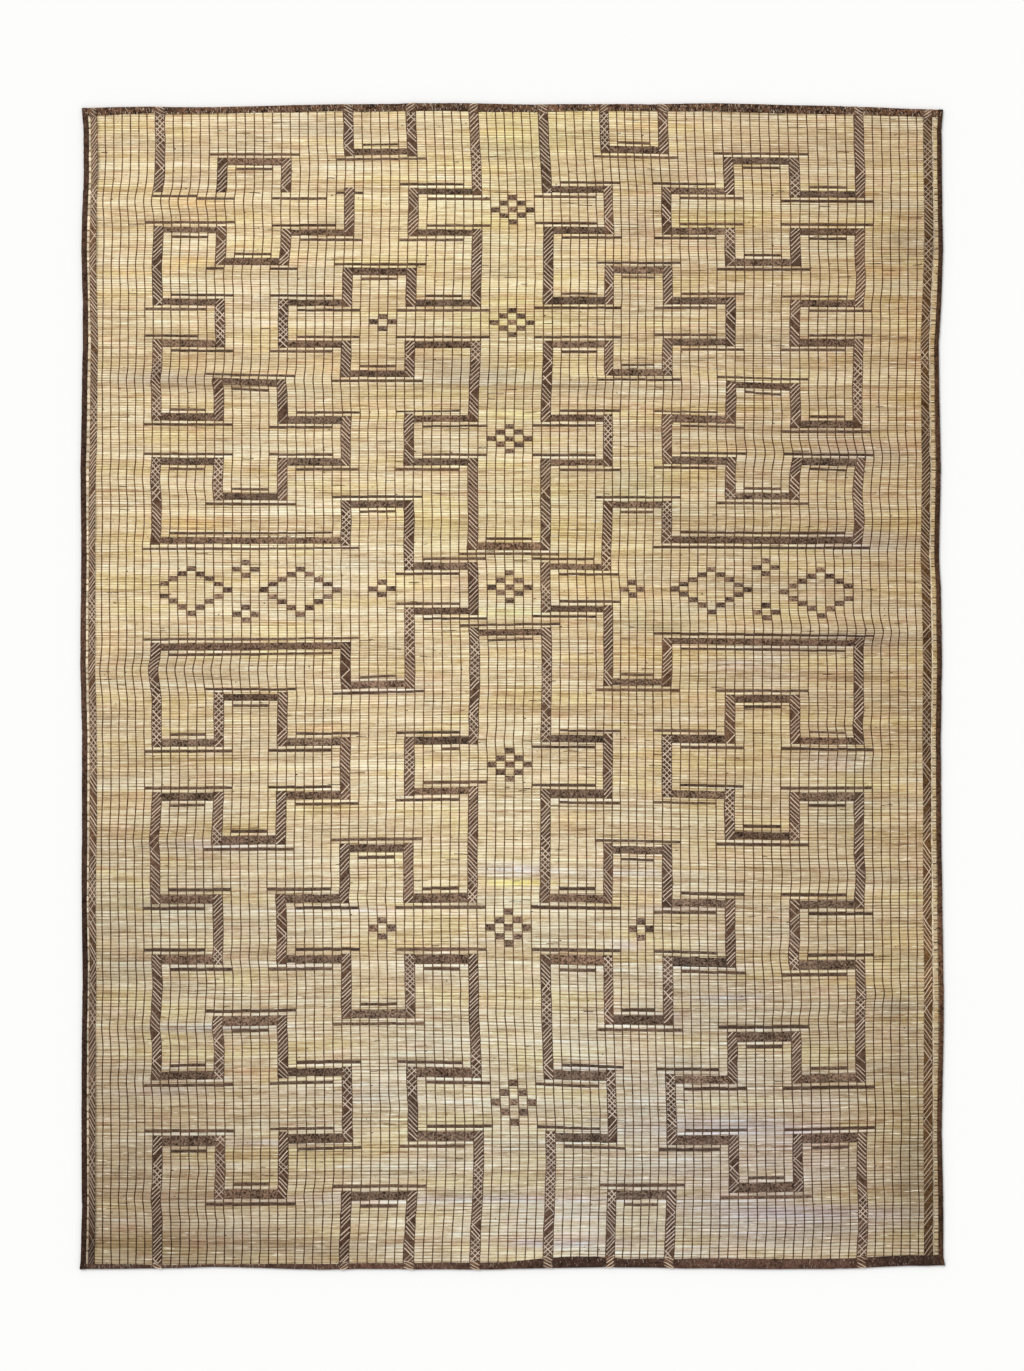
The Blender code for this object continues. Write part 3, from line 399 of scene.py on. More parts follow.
def tintAt(x, y, rows):
    # The share of red, green and blue that is kept at a place
    tint = np.ones(np.broadcast(x, y).shape + (3,))
    for row in rows:
        tint *= 1 + softShare(x, y, row)[..., None] * (np.array(row[4:]) - 1)
    return tint


# Meshes. A patch is (points, weave places, tints), each an array of (how many, rows, columns, 3)
ridge = np.array((-1.0, 0.0, 1.0))     # across a thong or a thread: its foot, its top, its other foot


def ridgeHeights(top, foot):
    return np.where(ridge == 0, top, foot)


def patchOf(column, cane, z, shift=0.0, across=0.0, tint=None):
    # Points over the weave, at heights z. across runs from -1 to 1 over a piece's width
    column, cane, z = np.broadcast_arrays(column, cane, z)
    x, y = weaveAt(column, cane)
    x = x + shift
    points = np.stack([x, y, z], -1)
    places = np.stack([column, cane, np.broadcast_to(across, x.shape)], -1)
    # A patch without a tint of its own takes the stains, the streaks and the painted shade and light over
    # the mat
    if tint is None:
        return points, places, tintAt(x, y, stainsAndPaintedLight + streaks + creaseShadeAndPatches)
    return points, places, np.broadcast_to(tint, points.shape)


def stainedAndShaded(patch, share):
    # Leather and thread take part in the broad stains of the mat and in its painted shade and light
    points, places, tints = patch
    return points, places, tints * tintAt(points[..., 0], points[..., 1], stainsAndPaintedLight + creaseShadeAndPatches) ** share


def facing(points, index, up):
    # Each grid's faces are turned to look up (or down, if up is False)
    across = points[:, 1:, 1:] - points[:, :-1, :-1]
    along = points[:, :-1, 1:] - points[:, 1:, :-1]
    lift = np.cross(across, along)[..., 2].sum((1, 2))
    wrong = (lift < 0) if up else (lift > 0)
    index = index.copy()
    index[wrong] = index[wrong][:, :, ::-1]
    return index


def addAttribute(mesh, name, kind, part, values):
    mesh.attributes.new(name, kind, "POINT").data.foreach_set(part, values.ravel())


loosePieces = []
weldWithin = 0.00001


def makePiece(name, patches, material, up=True, weld=False, turned=None):
    # turned is None for a patch that lies flat, and otherwise says whether its faces are turned over
    faces = []
    start = 0
    for points, places, tints in patches:
        count, rows, columns = points.shape[:3]
        index = np.arange(count * rows * columns).reshape(count, rows, columns) + start
        if turned is None:
            index = facing(points, index, up)
        elif turned:
            index = index[:, :, ::-1]
        quads = np.stack([index[:, :-1, :-1], index[:, 1:, :-1], index[:, 1:, 1:], index[:, :-1, 1:]], -1)
        faces.append(quads.reshape(-1, 4))
        start += count * rows * columns
    flat = [[part.reshape(-1, 3) for part in patch] for patch in patches]
    points, places, tints = [np.concatenate(parts) for parts in zip(*flat)]
    mesh = bpy.data.meshes.new(name)
    mesh.from_pydata(points.tolist(), [], np.concatenate(faces).tolist())
    addAttribute(mesh, "weave", "FLOAT_VECTOR", "vector", places)
    addAttribute(mesh, "tint", "FLOAT_COLOR", "color", np.concatenate([tints, np.ones((len(tints), 1))], 1))
    if weld:
        data = bmesh.new()
        data.from_mesh(mesh)
        bmesh.ops.remove_doubles(data, verts=data.verts, dist=weldWithin)
        bmesh.ops.recalc_face_normals(data, faces=data.faces)
        data.to_mesh(mesh)
        data.free()
    mesh.shade_smooth()
    mesh.materials.append(material)
    piece = bpy.data.objects.new(name, mesh)
    bpy.context.scene.collection.objects.link(piece)
    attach(piece, "root")
    loosePieces.append(piece)
    print(name, len(mesh.polygons), "faces")
    return piece


# Material helpers

def newMaterial(name, roughness, specular):
    material = bpy.data.materials.new(name)
    material.use_nodes = True
    tree = material.node_tree
    shader = tree.nodes["Principled BSDF"]
    shader.inputs["Roughness"].default_value = roughness
    shader.inputs["Specular IOR Level"].default_value = specular
    return material, tree, shader


def addNode(tree, kind, inputs=(), **settings):
    # Each of the first sockets is given another node's output, or a plain value
    node = tree.nodes.new(kind)
    for key, value in settings.items():
        setattr(node, key, value)
    for socket, value in zip(node.inputs, inputs):
        feed(tree, socket, value)
    return node


def feed(tree, socket, value):
    if isinstance(value, bpy.types.NodeSocket):
        tree.links.new(value, socket)
    else:
        socket.default_value = value


def calc(tree, operation, *values):
    return addNode(tree, "ShaderNodeMath", values, operation=operation).outputs[0]


def spread(tree, value, fromLow, fromHigh, toLow=0.0, toHigh=1.0):
    inputs = (value, fromLow, fromHigh, toLow, toHigh)
    return addNode(tree, "ShaderNodeMapRange", inputs, interpolation_type="SMOOTHSTEP").outputs[0]


def blendColours(tree, kind, share, first, second):
    node = addNode(tree, "ShaderNodeMix", data_type="RGBA", blend_type=kind)
    feed(tree, node.inputs["Factor"], share)
    for socket, value in ((node.inputs[6], first), (node.inputs[7], second)):
        feed(tree, socket, value if isinstance(value, bpy.types.NodeSocket) else (*value, 1.0))
    return node.outputs[2]


def tinted(tree, colour):
    # The tint that each point of a mesh carries
    tint = addNode(tree, "ShaderNodeAttribute", attribute_name="tint")
    return blendColours(tree, "MULTIPLY", 1.0, colour, tint.outputs["Color"])


def weavePlace(tree):
    # The column, the cane and the place across, as three numbers
    place = addNode(tree, "ShaderNodeAttribute", attribute_name="weave")
    return addNode(tree, "ShaderNodeSeparateXYZ", [place.outputs["Vector"]]).outputs


def packed(tree, *values):
    return addNode(tree, "ShaderNodeCombineXYZ", values).outputs[0]


def noise(tree, vector, detail, roughness):
    node = addNode(tree, "ShaderNodeTexNoise")
    feed(tree, node.inputs["Vector"], vector)
    for key, value in (("Scale", 1.0), ("Detail", detail), ("Roughness", roughness)):
        node.inputs[key].default_value = value
    return node.outputs["Fac"]


def grainNoise(tree, scale, detail, roughness):
    # Noise over the mat, with one scale or one each for across, along and up
    place = addNode(tree, "ShaderNodeTexCoord")
    mapping = addNode(tree, "ShaderNodeMapping")
    mapping.inputs["Scale"].default_value = scale if isinstance(scale, tuple) else (scale, scale, scale)
    tree.links.new(place.outputs["Object"], mapping.inputs["Vector"])
    return noise(tree, mapping.outputs[0], detail, roughness)


def dice(tree, *values):
    # A random number for each whole place
    node = addNode(tree, "ShaderNodeTexWhiteNoise", [packed(tree, *values)], noise_dimensions="3D")
    return node.outputs["Value"]


def ramp(tree, value, stops):
    node = addNode(tree, "ShaderNodeValToRGB", [value])
    elements = node.color_ramp.elements
    while len(elements) < len(stops):
        elements.new(0.5)
    for element, (place, colour) in zip(elements, stops):
        element.position = place
        element.color = (*colour, 1.0)
    return node.outputs[0]


def centred(tree, value, amount, total):
    # Adds amount * (value - 0.5) to a running total
    return calc(tree, "MULTIPLY_ADD", calc(tree, "SUBTRACT", value, 0.5), amount, total)


def finishMaterial(tree, shader, colour, height, bump):
    # bump is its strength and its distance
    tree.links.new(colour, shader.inputs["Base Color"])
    node = addNode(tree, "ShaderNodeBump")
    node.inputs["Strength"].default_value, node.inputs["Distance"].default_value = bump
    feed(tree, node.inputs["Height"], height)
    tree.links.new(node.outputs[0], shader.inputs["Normal"])


# The design, counted as a weaver counts it. A band starts in a column; each row then says the cane
# it turns along on the left half, the same on the right half, and the column it turns into
design = {
    "headKey": ((38, 37, 14), (25, 23, 21), (37, 36, 28)),
    "sideBand": (
        (54, 53, 21), (66, 66, 14), (53, 53, 7), (83, 83, 14), (100, 99, 7), (130, 132, 14),
        (116, 117, 21), (131, 130, 28), (148, 147, 21), (162, 161, 14), (148, 147, 7),
        (180, 179, 28), (165, 165, 35), (190, 190, 42), (208, 207, 35), (237, 236, 28),
        (222, 220, 7), (258, 257, 14), (241, 242, 21), (258, 257, 28), (277, 276, 21),
        (292, 290, 14), (277, 277, 7), (311, 312, 14), (330, 331, 7), (365, 366, 14),
        (349, 353, 21), (365, 366, 28), (384, 385, 21), (401, 400, 14), (385, 385, 7),
    ),
    "upperBand": (
        (37, 36, 35), (54, 53, 42), (83, 82, 35), (70, 69, 28), (83, 82, 21), (100, 99, 28),
        (112, 111, 35), (100, 100, 42), (130, 130, 35), (148, 148, 42),
    ),
    "lowerBand": (
        (258, 257, 35), (276, 277, 42), (311, 311, 35), (295, 295, 28), (311, 312, 21),
        (330, 330, 28), (347, 348, 35), (330, 330, 42), (365, 365, 35), (384, 384, 42),
    ),
    "sideStart": 7, "centreStart": 42, "upperFoot": 182, "lowerHead": 216,
    "keyColumn": 28, "keyTo": 35, "headKeyCanes": (21, 19), "footKeyCanes": (402, 402),
    "head": -1, "foot": 425, "stubEnd": 37.5, "restStart": 35.5,
    "halfBand": 1.5,      # a level band covers a cane and a half either way from its middle one
}
headCane = design["head"]
footCane = design["foot"]


def mirrored(column):
    return weave["mirror"] - column


def leftTurns(rows):
    return [(left, column) for left, right, column in rows]


def rightTurns(rows):
    return [(right, mirrored(column)) for left, right, column in rows]


def bandRuns(startColumn, startCane, turns, endCane):
    # Upright runs as (column, upper cane, lower cane), level runs as (first thong, last thong,
    # cane, which way the band turns at its left end, and at its right end)
    uprights = []
    levels = []
    column = startColumn
    cane = startCane
    for number, (turnCane, toColumn) in enumerate(turns):
        uprights.append((column, min(cane, turnCane), max(cane, turnCane)))
        nextCane = turns[number + 1][0] if number + 1 < len(turns) else endCane
        turnWays = {column: np.sign(cane - turnCane), toColumn: np.sign(nextCane - turnCane)}
        left = min(column, toColumn)
        right = max(column, toColumn)
        levels.append((left, right + 1, turnCane, turnWays[left], turnWays[right]))
        column = toColumn
        cane = turnCane
    uprights.append((column, min(cane, endCane), max(cane, endCane)))
    return uprights, levels


def keyRuns(first, second, turnCane, openCane):
    return bandRuns(first, openCane, [(turnCane, second)], openCane)


def centreRuns(rows, startCane, endCane, joinCane, way):
    # A band of the middle panel: its two halves and the level run that joins them
    start = design["centreStart"]
    left = bandRuns(start, startCane, leftTurns(rows), endCane)
    right = bandRuns(mirrored(start), startCane, rightTurns(rows), endCane)
    return left[0] + right[0], left[1] + right[1] + [(start, mirrored(start) + 1, joinCane, way, way)]


def wholeDesign():
    # Every band, as CAD node name and its runs
    bands = {}
    keyRows = design["headKey"]
    start = design["sideStart"]
    bands["left_head_stub"] = ([(start, headCane, design["stubEnd"])], [])
    bands["left_head_key"] = keyRuns(keyRows[0][2], keyRows[1][2], keyRows[1][0], design["stubEnd"])
    turns = leftTurns(design["sideBand"])
    bands["left_side_band"] = bandRuns(keyRows[2][2], design["restStart"], turns, footCane)
    turns = rightTurns(keyRows + design["sideBand"])
    bands["right_side_band"] = bandRuns(mirrored(start), headCane, turns, footCane)
    upper = design["upperFoot"]
    lower = design["lowerHead"]
    bands["upper_centre_band"] = centreRuns(design["upperBand"], headCane, upper, upper, -1)
    bands["lower_centre_band"] = centreRuns(design["lowerBand"], lower, footCane, lower, 1)
    first = design["keyColumn"]
    second = design["keyTo"]
    keys = (("left", first, second), ("right", mirrored(second), mirrored(first)))
    for side, (name, start, end) in enumerate(keys):
        bands[name + "_head_inner_key"] = keyRuns(start, end, design["headKeyCanes"][side], headCane)
        bands[name + "_foot_inner_key"] = keyRuns(start, end, design["footKeyCanes"][side], footCane)
    return bands


designBands = wholeDesign()
allLevels = [level for uprights, levels in designBands.values() for level in levels]


# Canes: straw coloured. Tones run along each cane and are shared by a few canes. The gaps between canes
# have painted shade, dark in some places and faint in others, and thin painted highlights and brown lines
# run along a cane here and there
canePaint = {
    "shades": (
        (0.00, (0.255, 0.142, 0.063)),
        (0.25, (0.495, 0.340, 0.175)),
        (0.50, (0.735, 0.575, 0.342)),
        (0.75, (0.915, 0.800, 0.545)),
        (1.00, (0.995, 0.945, 0.735)),
    ),
    # How far a cane's own tone goes and its seed, and the same for its parts between two thongs
    "own": (0.26, 3.0), "cell": (0.07, 7.0),
    # Tones along the canes: how far they go, how fast they change across and along the mat, and seed
    "band": (0.50, 0.05, 0.17, 2.0),
    "long": (1.00, 0.16, 1.90, 4.0),
    "short": (0.30, 1.00, 0.85, 8.0),
    "fibre": (1.00, 0.45, 3.00, 9.0),
    "cellStart": 7.3, "cellStretch": 0.4,      # short tones start anew past each thong
    "alongNoise": (2.0, 0.6),                  # a noise's detail and roughness
    "grain": 0.55,
    "grainNoise": ((330.0, 520.0, 300.0), 2.0, 0.6),     # and here its scale before them
    # Yellower, greyer and pinker parts: how fast they change, seed, where they start and are full
    "hues": (
        (0.07, 0.13, 5.0, 0.50, 0.66, (1.01, 1.005, 0.85)),
        (0.07, 0.13, 5.0, 0.50, 0.34, (0.955, 1.00, 1.06)),
        (0.20, 0.22, 6.0, 0.50, 0.70, (1.045, 0.965, 0.975)),
    ),
    # painted shade in the gaps between canes: its colour, then where it runs and how dark it is
    "gap": (0.180, 0.092, 0.040),
    "gapRun": 0.17,                            # a gap keeps its depth for about six columns,
    "gapStart": (5.0, 9.0),                    # which start where its seed and reach say
    "gapSeed": 2.0,
    "gapShadeDepth": (0.28, 0.95, 0.30, 1.0),
    "gapRight": (50.0, 80.0, 0.0, 0.12),       # how much darker the gaps are towards the right
    "gapEdge": (0.50, 1.0),
    # Painted highlights: thin cream lines along the tops of the canes, how fast they change, seed, share
    # and colour
    "highlightAndPaleSpeck": (0.40, 1.90, 3.0), "highlightShare": (0.60, 0.72, 0.0, 0.75), "highlightColour": (0.970, 0.910, 0.730),
    "speckNoise": ((170.0, 330.0, 100.0), 2.0, 0.7), "speckShare": (0.68, 0.78, 0.0, 0.7),
    "speckColour": (0.130, 0.068, 0.034),
    "roughness": 0.60, "specular": 0.18,
    "bumpNoise": ((55.0, 1400.0, 300.0), 3.0, 0.6), "bump": (0.30, 0.0004),
}


def alongCanes(tree, column, columnScale, cane, caneScale, seed):
    # Noise stretched along the canes
    place = [calc(tree, "MULTIPLY", *pair) for pair in ((column, columnScale), (cane, caneScale))]
    return noise(tree, packed(tree, *place, seed), *canePaint["alongNoise"])


def caneMaterial(name):
    paint = canePaint
    material, tree, shader = newMaterial(name, paint["roughness"], paint["specular"])
    column, cane, side = weavePlace(tree)
    number = calc(tree, "ROUND", cane)
    cell = calc(tree, "FLOOR", column)
    inCell = calc(tree, "MULTIPLY", column, paint["cellStretch"])
    inCell = calc(tree, "MULTIPLY_ADD", cell, paint["cellStart"], inCell)
    amount, seed = paint["own"]
    shade = centred(tree, dice(tree, number, seed), amount, 0.5)
    amount, seed = paint["cell"]
    shade = centred(tree, dice(tree, number, cell, seed), amount, shade)
    for key, place, row in (("band", column, number), ("long", column, cane), ("short", inCell, cane),
                            ("fibre", column, cane)):
        amount, across, along, seed = paint[key]
        shade = centred(tree, alongCanes(tree, place, across, row, along, seed), amount, shade)
    shade = centred(tree, grainNoise(tree, *paint["grainNoise"]), paint["grain"], shade)
    colour = ramp(tree, shade, paint["shades"])
    for across, along, seed, start, full, hue in paint["hues"]:
        share = spread(tree, alongCanes(tree, column, across, number, along, seed), start, full)
        colour = blendColours(tree, "MULTIPLY", share, colour, hue)
    # The gap to the next cane has painted shade, dark in some places and faint in others
    gapNumber = calc(tree, "ROUND", calc(tree, "MULTIPLY_ADD", side, 0.5, cane))
    seed, reach = paint["gapStart"]
    gapStart = calc(tree, "MULTIPLY", dice(tree, gapNumber, seed), reach)
    cellMiddle = calc(tree, "ADD", cell, 0.5)
    gapPlace = calc(tree, "FLOOR", calc(tree, "MULTIPLY_ADD", cellMiddle, paint["gapRun"], gapStart))
    gapShadeDepth = spread(tree, dice(tree, gapNumber, gapPlace, paint["gapSeed"]), *paint["gapShadeDepth"])
    gapShadeDepth = calc(tree, "ADD", gapShadeDepth, spread(tree, column, *paint["gapRight"]))
    gapShadeShare = spread(tree, calc(tree, "ABSOLUTE", side), *paint["gapEdge"])
    gapShadeShare = calc(tree, "MULTIPLY", gapShadeShare, gapShadeDepth)
    colour = blendColours(tree, "MIX", gapShadeShare, colour, paint["gap"])
    colour = tinted(tree, colour)
    # Painted highlights along the tops of the canes
    across, along, seed = paint["highlightAndPaleSpeck"]
    highlightAndPaleSpeck = spread(tree, alongCanes(tree, column, across, cane, along, seed), *paint["highlightShare"])
    colour = blendColours(tree, "MIX", highlightAndPaleSpeck, colour, paint["highlightColour"])
    specks = spread(tree, grainNoise(tree, *paint["speckNoise"]), *paint["speckShare"])
    colour = blendColours(tree, "MIX", specks, colour, paint["speckColour"])
    finishMaterial(tree, shader, colour, grainNoise(tree, *paint["bumpNoise"]), paint["bump"])
    return material


caneShape = {
    "base": 0.0041, "crown": 0.0050, "pinched": 0.0046,
    "profile": (-1.0, -0.55, 0.55, 1.0),
    "share": (0.0, 0.88, 0.88, 0.0),     # how much of the height each profile point has
    "roll": 0.00030, "rise": 0.00030,    # how unevenly the canes lie
    "pieces": 3, "seed": 100,            # the canes are three pieces, from head to foot
    "besideBand": (1.10, 1.14, 1.24),    # the canes next to a level band are paler
    "atSide": (0.55, 0.47, 0.40),        # their ends by the left side are dark
}


def caneColumns():
    # Across the mat a cane has a point at every thong and half way between thongs
    inner = np.arange(0, lastThong + 0.25, 0.5)
    left = [sideColumns["leftEdge"], sideColumns["leftBraid"], sideColumns["leftBraid"] + 1]
    right = [sideColumns["rightBraid"], sideColumns["rightBraid"] + 1, sideColumns["rightEdge"]]
    return np.concatenate([left, inner, right])


def topCanes(first, last):
    canes = np.arange(first, last)
    columns = caneColumns()
    draw = np.random.default_rng(caneShape["seed"] + first)
    shape = (len(canes), len(columns), 1)
    mid = (np.round(columns * 2) % 2 == 1)[None, :, None]
    crown = np.where(mid, caneShape["crown"], caneShape["pinched"])
    crown = crown + draw.uniform(-1, 1, shape) * caneShape["rise"] * mid
    roll = draw.uniform(-1, 1, shape) * caneShape["roll"]
    profile = np.array(caneShape["profile"])
    height = np.array(caneShape["share"])
    z = caneShape["base"] + (crown - caneShape["base"]) * height + roll * profile * height
    cane = canes[:, None, None] + profile * 0.5
    points, places, tints = patchOf(columns[None, :, None], cane, z, across=profile)
    for firstThong, endThong, level in [run[:3] for run in allLevels]:
        within = (columns > firstThong - 1) & (columns < endThong + 1)
        for side in (-1, 1):
            tints[np.ix_(canes == level + side * 2, within)] *= caneShape["besideBand"]
    tints[:, columns <= sideColumns["leftBraid"]] *= caneShape["atSide"]
    return points, places, tints


caneFinish = caneMaterial("split cane")
cuts = np.linspace(headCane, footCane, caneShape["pieces"] + 1).astype(int)
for number, (first, last) in enumerate(zip(cuts[:-1], cuts[1:])):
    makePiece(f"canes_{number + 1}", [topCanes(first, last)], caneFinish)


# Underside: the flat backs of the split canes, one sheet from edge to edge
backShape = {
    "low": 0.0003, "groove": 0.0008, "top": 0.0014,
    "columns": (0, 8, 16, 24, 32, 40, 46, 52, 60, 68, 76, 84, lastThong),
}


def caneBacks():
    columns = np.array([sideColumns["leftEdge"], *backShape["columns"], sideColumns["rightEdge"]])
    columns = columns[None, :, None]
    # Two points to a cane: one on its back, and one in the groove beside it
    canes = np.arange(headCane, weave["canes"] + 1.25, 0.5) - 0.25
    onCane = np.round(canes * 2 + 0.5) % 2 == 0
    low = np.where(onCane, backShape["low"], backShape["groove"])
    under = patchOf(columns, canes[None, None, :], low, across=np.where(onCane, 0.0, 1.0))
    over = patchOf(columns, canes[None, None, :], backShape["top"])
    rims = []
    whole = slice(None)
    first = slice(0, 1)
    last = slice(-1, None)
    for pick in ((first, whole), (last, whole), (whole, first), (whole, last)):
        lower = [part[(whole,) + pick].reshape(1, -1, 1, 3) for part in under]
        upper = [part[(whole,) + pick].reshape(1, -1, 1, 3) for part in over]
        rims.append(tuple(np.concatenate(pair, 2) for pair in zip(lower, upper)))
    return [under, over] + rims


backs = makePiece("cane_backs", caneBacks(), caneMaterial("cane back"), weld=True)
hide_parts("reed_field")
loosePieces.remove(backs)


# Leathers: dark and light colour, roughness, how many pale specks and their colour, how mottled
paleSpeck = (0.45, 0.36, 0.29)
brownSpeck = (0.22, 0.12, 0.09)
leathers = {
    "thong leather": ((0.077, 0.035, 0.0155), (0.220, 0.117, 0.055), 0.60, 0.00, paleSpeck, 0.30),
    "level leather": ((0.022, 0.010, 0.005), (0.250, 0.158, 0.102), 0.70, 0.35, paleSpeck, 0.85),
    "band leather": ((0.038, 0.017, 0.009), (0.185, 0.106, 0.064), 0.70, 0.00, paleSpeck, 0.60),
    "line leather": ((0.036, 0.018, 0.010), (0.160, 0.100, 0.064), 0.70, 0.10, paleSpeck, 0.60),
    "side leather": ((0.006, 0.002, 0.001), (0.070, 0.038, 0.024), 0.75, 0.15, brownSpeck, 0.60),
    "head leather": ((0.012, 0.004, 0.002), (0.195, 0.095, 0.048), 0.70, 0.35, paleSpeck, 1.00),
    "foot leather": ((0.014, 0.006, 0.004), (0.125, 0.066, 0.045), 0.70, 0.10, paleSpeck, 0.50),
    "dark split": ((0.050, 0.026, 0.014), (0.130, 0.078, 0.045), 0.80, 0.00, paleSpeck, 0.60),
}
leatherGrain = {
    "specular": 0.07, "bump": (0.5, 0.0004),
    # Each noise's scale, detail and roughness, then how far it changes the shade
    "fine": (900.0, 3.0, 0.6), "patches": (210.0, 2.0, 0.6), "wear": (45.0, 1.0, 0.5),
    "specks": (420.0, 1.0, 0.5),
    "fineShare": 0.5, "patchShare": 2.6, "wearShare": 0.9, "speckAt": (0.60, 0.72),
}


def leatherMaterial(name):
    # Dark leather, mottled in patches a few millimetres wide; tint makes each piece its own shade
    dark, light, roughness, specks, speckColour, mottle = leathers[name]
    material, tree, shader = newMaterial(name, roughness, leatherGrain["specular"])
    grain = grainNoise(tree, *leatherGrain["fine"])
    patches = grainNoise(tree, *leatherGrain["patches"])
    wear = grainNoise(tree, *leatherGrain["wear"])
    shade = centred(tree, grain, leatherGrain["fineShare"], 0.5)
    shade = centred(tree, patches, leatherGrain["patchShare"] * mottle, shade)
    shade = centred(tree, wear, leatherGrain["wearShare"] * mottle, shade)
    colour = tinted(tree, blendColours(tree, "MIX", spread(tree, shade, 0.0, 1.0), dark, light))
    if specks:
        highlightAndPaleSpeck = grainNoise(tree, *leatherGrain["specks"])
        highlightAndPaleSpeck = spread(tree, highlightAndPaleSpeck, *leatherGrain["speckAt"], 0.0, specks)
        colour = blendColours(tree, "MIX", highlightAndPaleSpeck, colour, speckColour)
    finishMaterial(tree, shader, colour, grain, leatherGrain["bump"])
    return material


leather = {name: leatherMaterial(name) for name in leathers}


# Thongs: one narrow leather thong over the canes at each column, a little uneven, and one beneath
thongShape = {
    "halfWidth": 0.00150, "unevenWidth": 0.00024,
    "ridge": 0.0055, "unevenRidge": 0.00020, "foot": 0.0045,
    "shades": (0.75, 1.25), "columnShades": (0.85, 1.15), "stainAndShade": 1.4,
    "underHalfWidth": 0.0016, "underRidge": 0.0001, "underFoot": 0.0006, "underStep": 6.0,
    "seeds": (21, 22),
}


def thongPatch(columns, seed):
    draw = np.random.default_rng(seed)
    canes = np.arange(headCane, footCane)[None, :, None]
    columns = columns[:, None, None]
    shape = (len(columns), canes.shape[1], 1)
    half = thongShape["halfWidth"] + draw.uniform(-1, 1, shape) * thongShape["unevenWidth"]
    top = thongShape["ridge"] + draw.uniform(-1, 1, shape) * thongShape["unevenRidge"]
    z = ridgeHeights(top, thongShape["foot"])
    shade = draw.uniform(*thongShape["shades"], shape + (1,))
    shade = shade * draw.uniform(*thongShape["columnShades"], (len(columns), 1, 1, 1))
    patch = patchOf(columns, canes, z, half * ridge, ridge, np.broadcast_to(shade, shape[:2] + (3, 3)))
    return stainedAndShaded(patch, thongShape["stainAndShade"])


def underThongs():
    canes = np.arange(1, weave["canes"], thongShape["underStep"])[None, :, None]
    z = ridgeHeights(thongShape["underRidge"], thongShape["underFoot"])
    across = ridge * thongShape["underHalfWidth"]
    return patchOf(allThongs[:, None, None], canes, z, across, ridge, (1.0, 1.0, 1.0))


allThongs = np.arange(weave["thongs"])
halves = zip(("thongs_left", "thongs_right"), np.split(allThongs, 2), thongShape["seeds"])
for name, columns, seed in halves:
    makePiece(name, [thongPatch(columns, seed)], leather["thong leather"])
makePiece("thongs_under", [underThongs()], leather["thong leather"], up=False)


# Bands: level runs of leather over whole canes, and upright runs that fill one column
bandShape = {
    "edge": 0.0049, "top": 0.0058, "bulge": 0.0002, "dip": 0.0003,
    "cellPoints": (0.03, 0.5, 0.97), "wideInset": 0.12, "thinInset": 0.15,
    "cellRipple": 0.10, "stepRipple": 0.06, "cellTones": (0.85, 1.15),
    "levelHalf": (1.22, 1.52), "levelTones": (0.75, 1.45), "stainAndShade": 0.5, "seed": 500,
    "uprightTop": 0.0060, "uprightOver": (0.10, 0.065), "braidOver": (0.02, 0.02),
    "uprightTones": (0.75, 1.25), "wobble": 0.02, "drift": 0.15, "driftReach": 7.0, "driftSeed": 31,
    "warmth": 0.05, "warmthBlue": 0.6,     # how much redder a piece can be, and how much less blue then
    "inner": (0.02, 0.5, 0.98),            # the points of an upright run inside its thongs
}


def tone(draw, low, high):
    # A shade for one piece of leather, a little redder or greyer than its neighbour
    value = draw.uniform(low, high)
    red = draw.uniform(-bandShape["warmth"], bandShape["warmth"])
    return np.array((value * (1 + red), value, value * (1 - red * bandShape["warmthBlue"])))


def levelPatch(first, last, cane, halfCanes, draw, tones, slant=(0.0, 0.0)):
    # Leather over whole canes, one cell at a time, dipping at the thongs and between the canes
    cells = np.arange(first, last)
    across = np.array(bandShape["cellPoints"])
    column = (cells[:, None] + across)[:, :, None]
    edge = bandShape["edge"]
    top = bandShape["top"]
    wide = halfCanes > 1
    inner = halfCanes - bandShape["wideInset" if wide else "thinInset"]
    between = (-0.5, 0.5) if wide else ()
    dips = (top - bandShape["dip"],) * len(between)
    steps = np.array((-halfCanes, -inner, *between, inner, halfCanes))
    z = np.array((edge, top, *dips, top, edge))
    z = z + np.where(across == 0.5, bandShape["bulge"], 0.0)[:, None]
    drop = slant[0] + (slant[1] - slant[0]) * (column - first) / (last - first)
    cellRipple = bandShape["cellRipple"]
    stepRipple = bandShape["stepRipple"]
    wave = draw.uniform(-cellRipple, cellRipple, (len(cells), 1, 1))
    wave = wave + draw.uniform(-stepRipple, stepRipple, (len(cells), 1, len(steps)))
    base = tone(draw, *tones)
    own = draw.uniform(*bandShape["cellTones"], (len(cells), 1, 1, 1)) * base
    tint = np.broadcast_to(own, (len(cells), len(across), len(steps), 3))
    patch = patchOf(column, cane + steps + drop + wave, z, across=steps / halfCanes, tint=tint)
    return stainedAndShaded(patch, bandShape["stainAndShade"])


def overColumn(over):
    # Five points across a column and a little past its thongs
    return np.array((-over[0], *bandShape["inner"], 1 + over[1]))


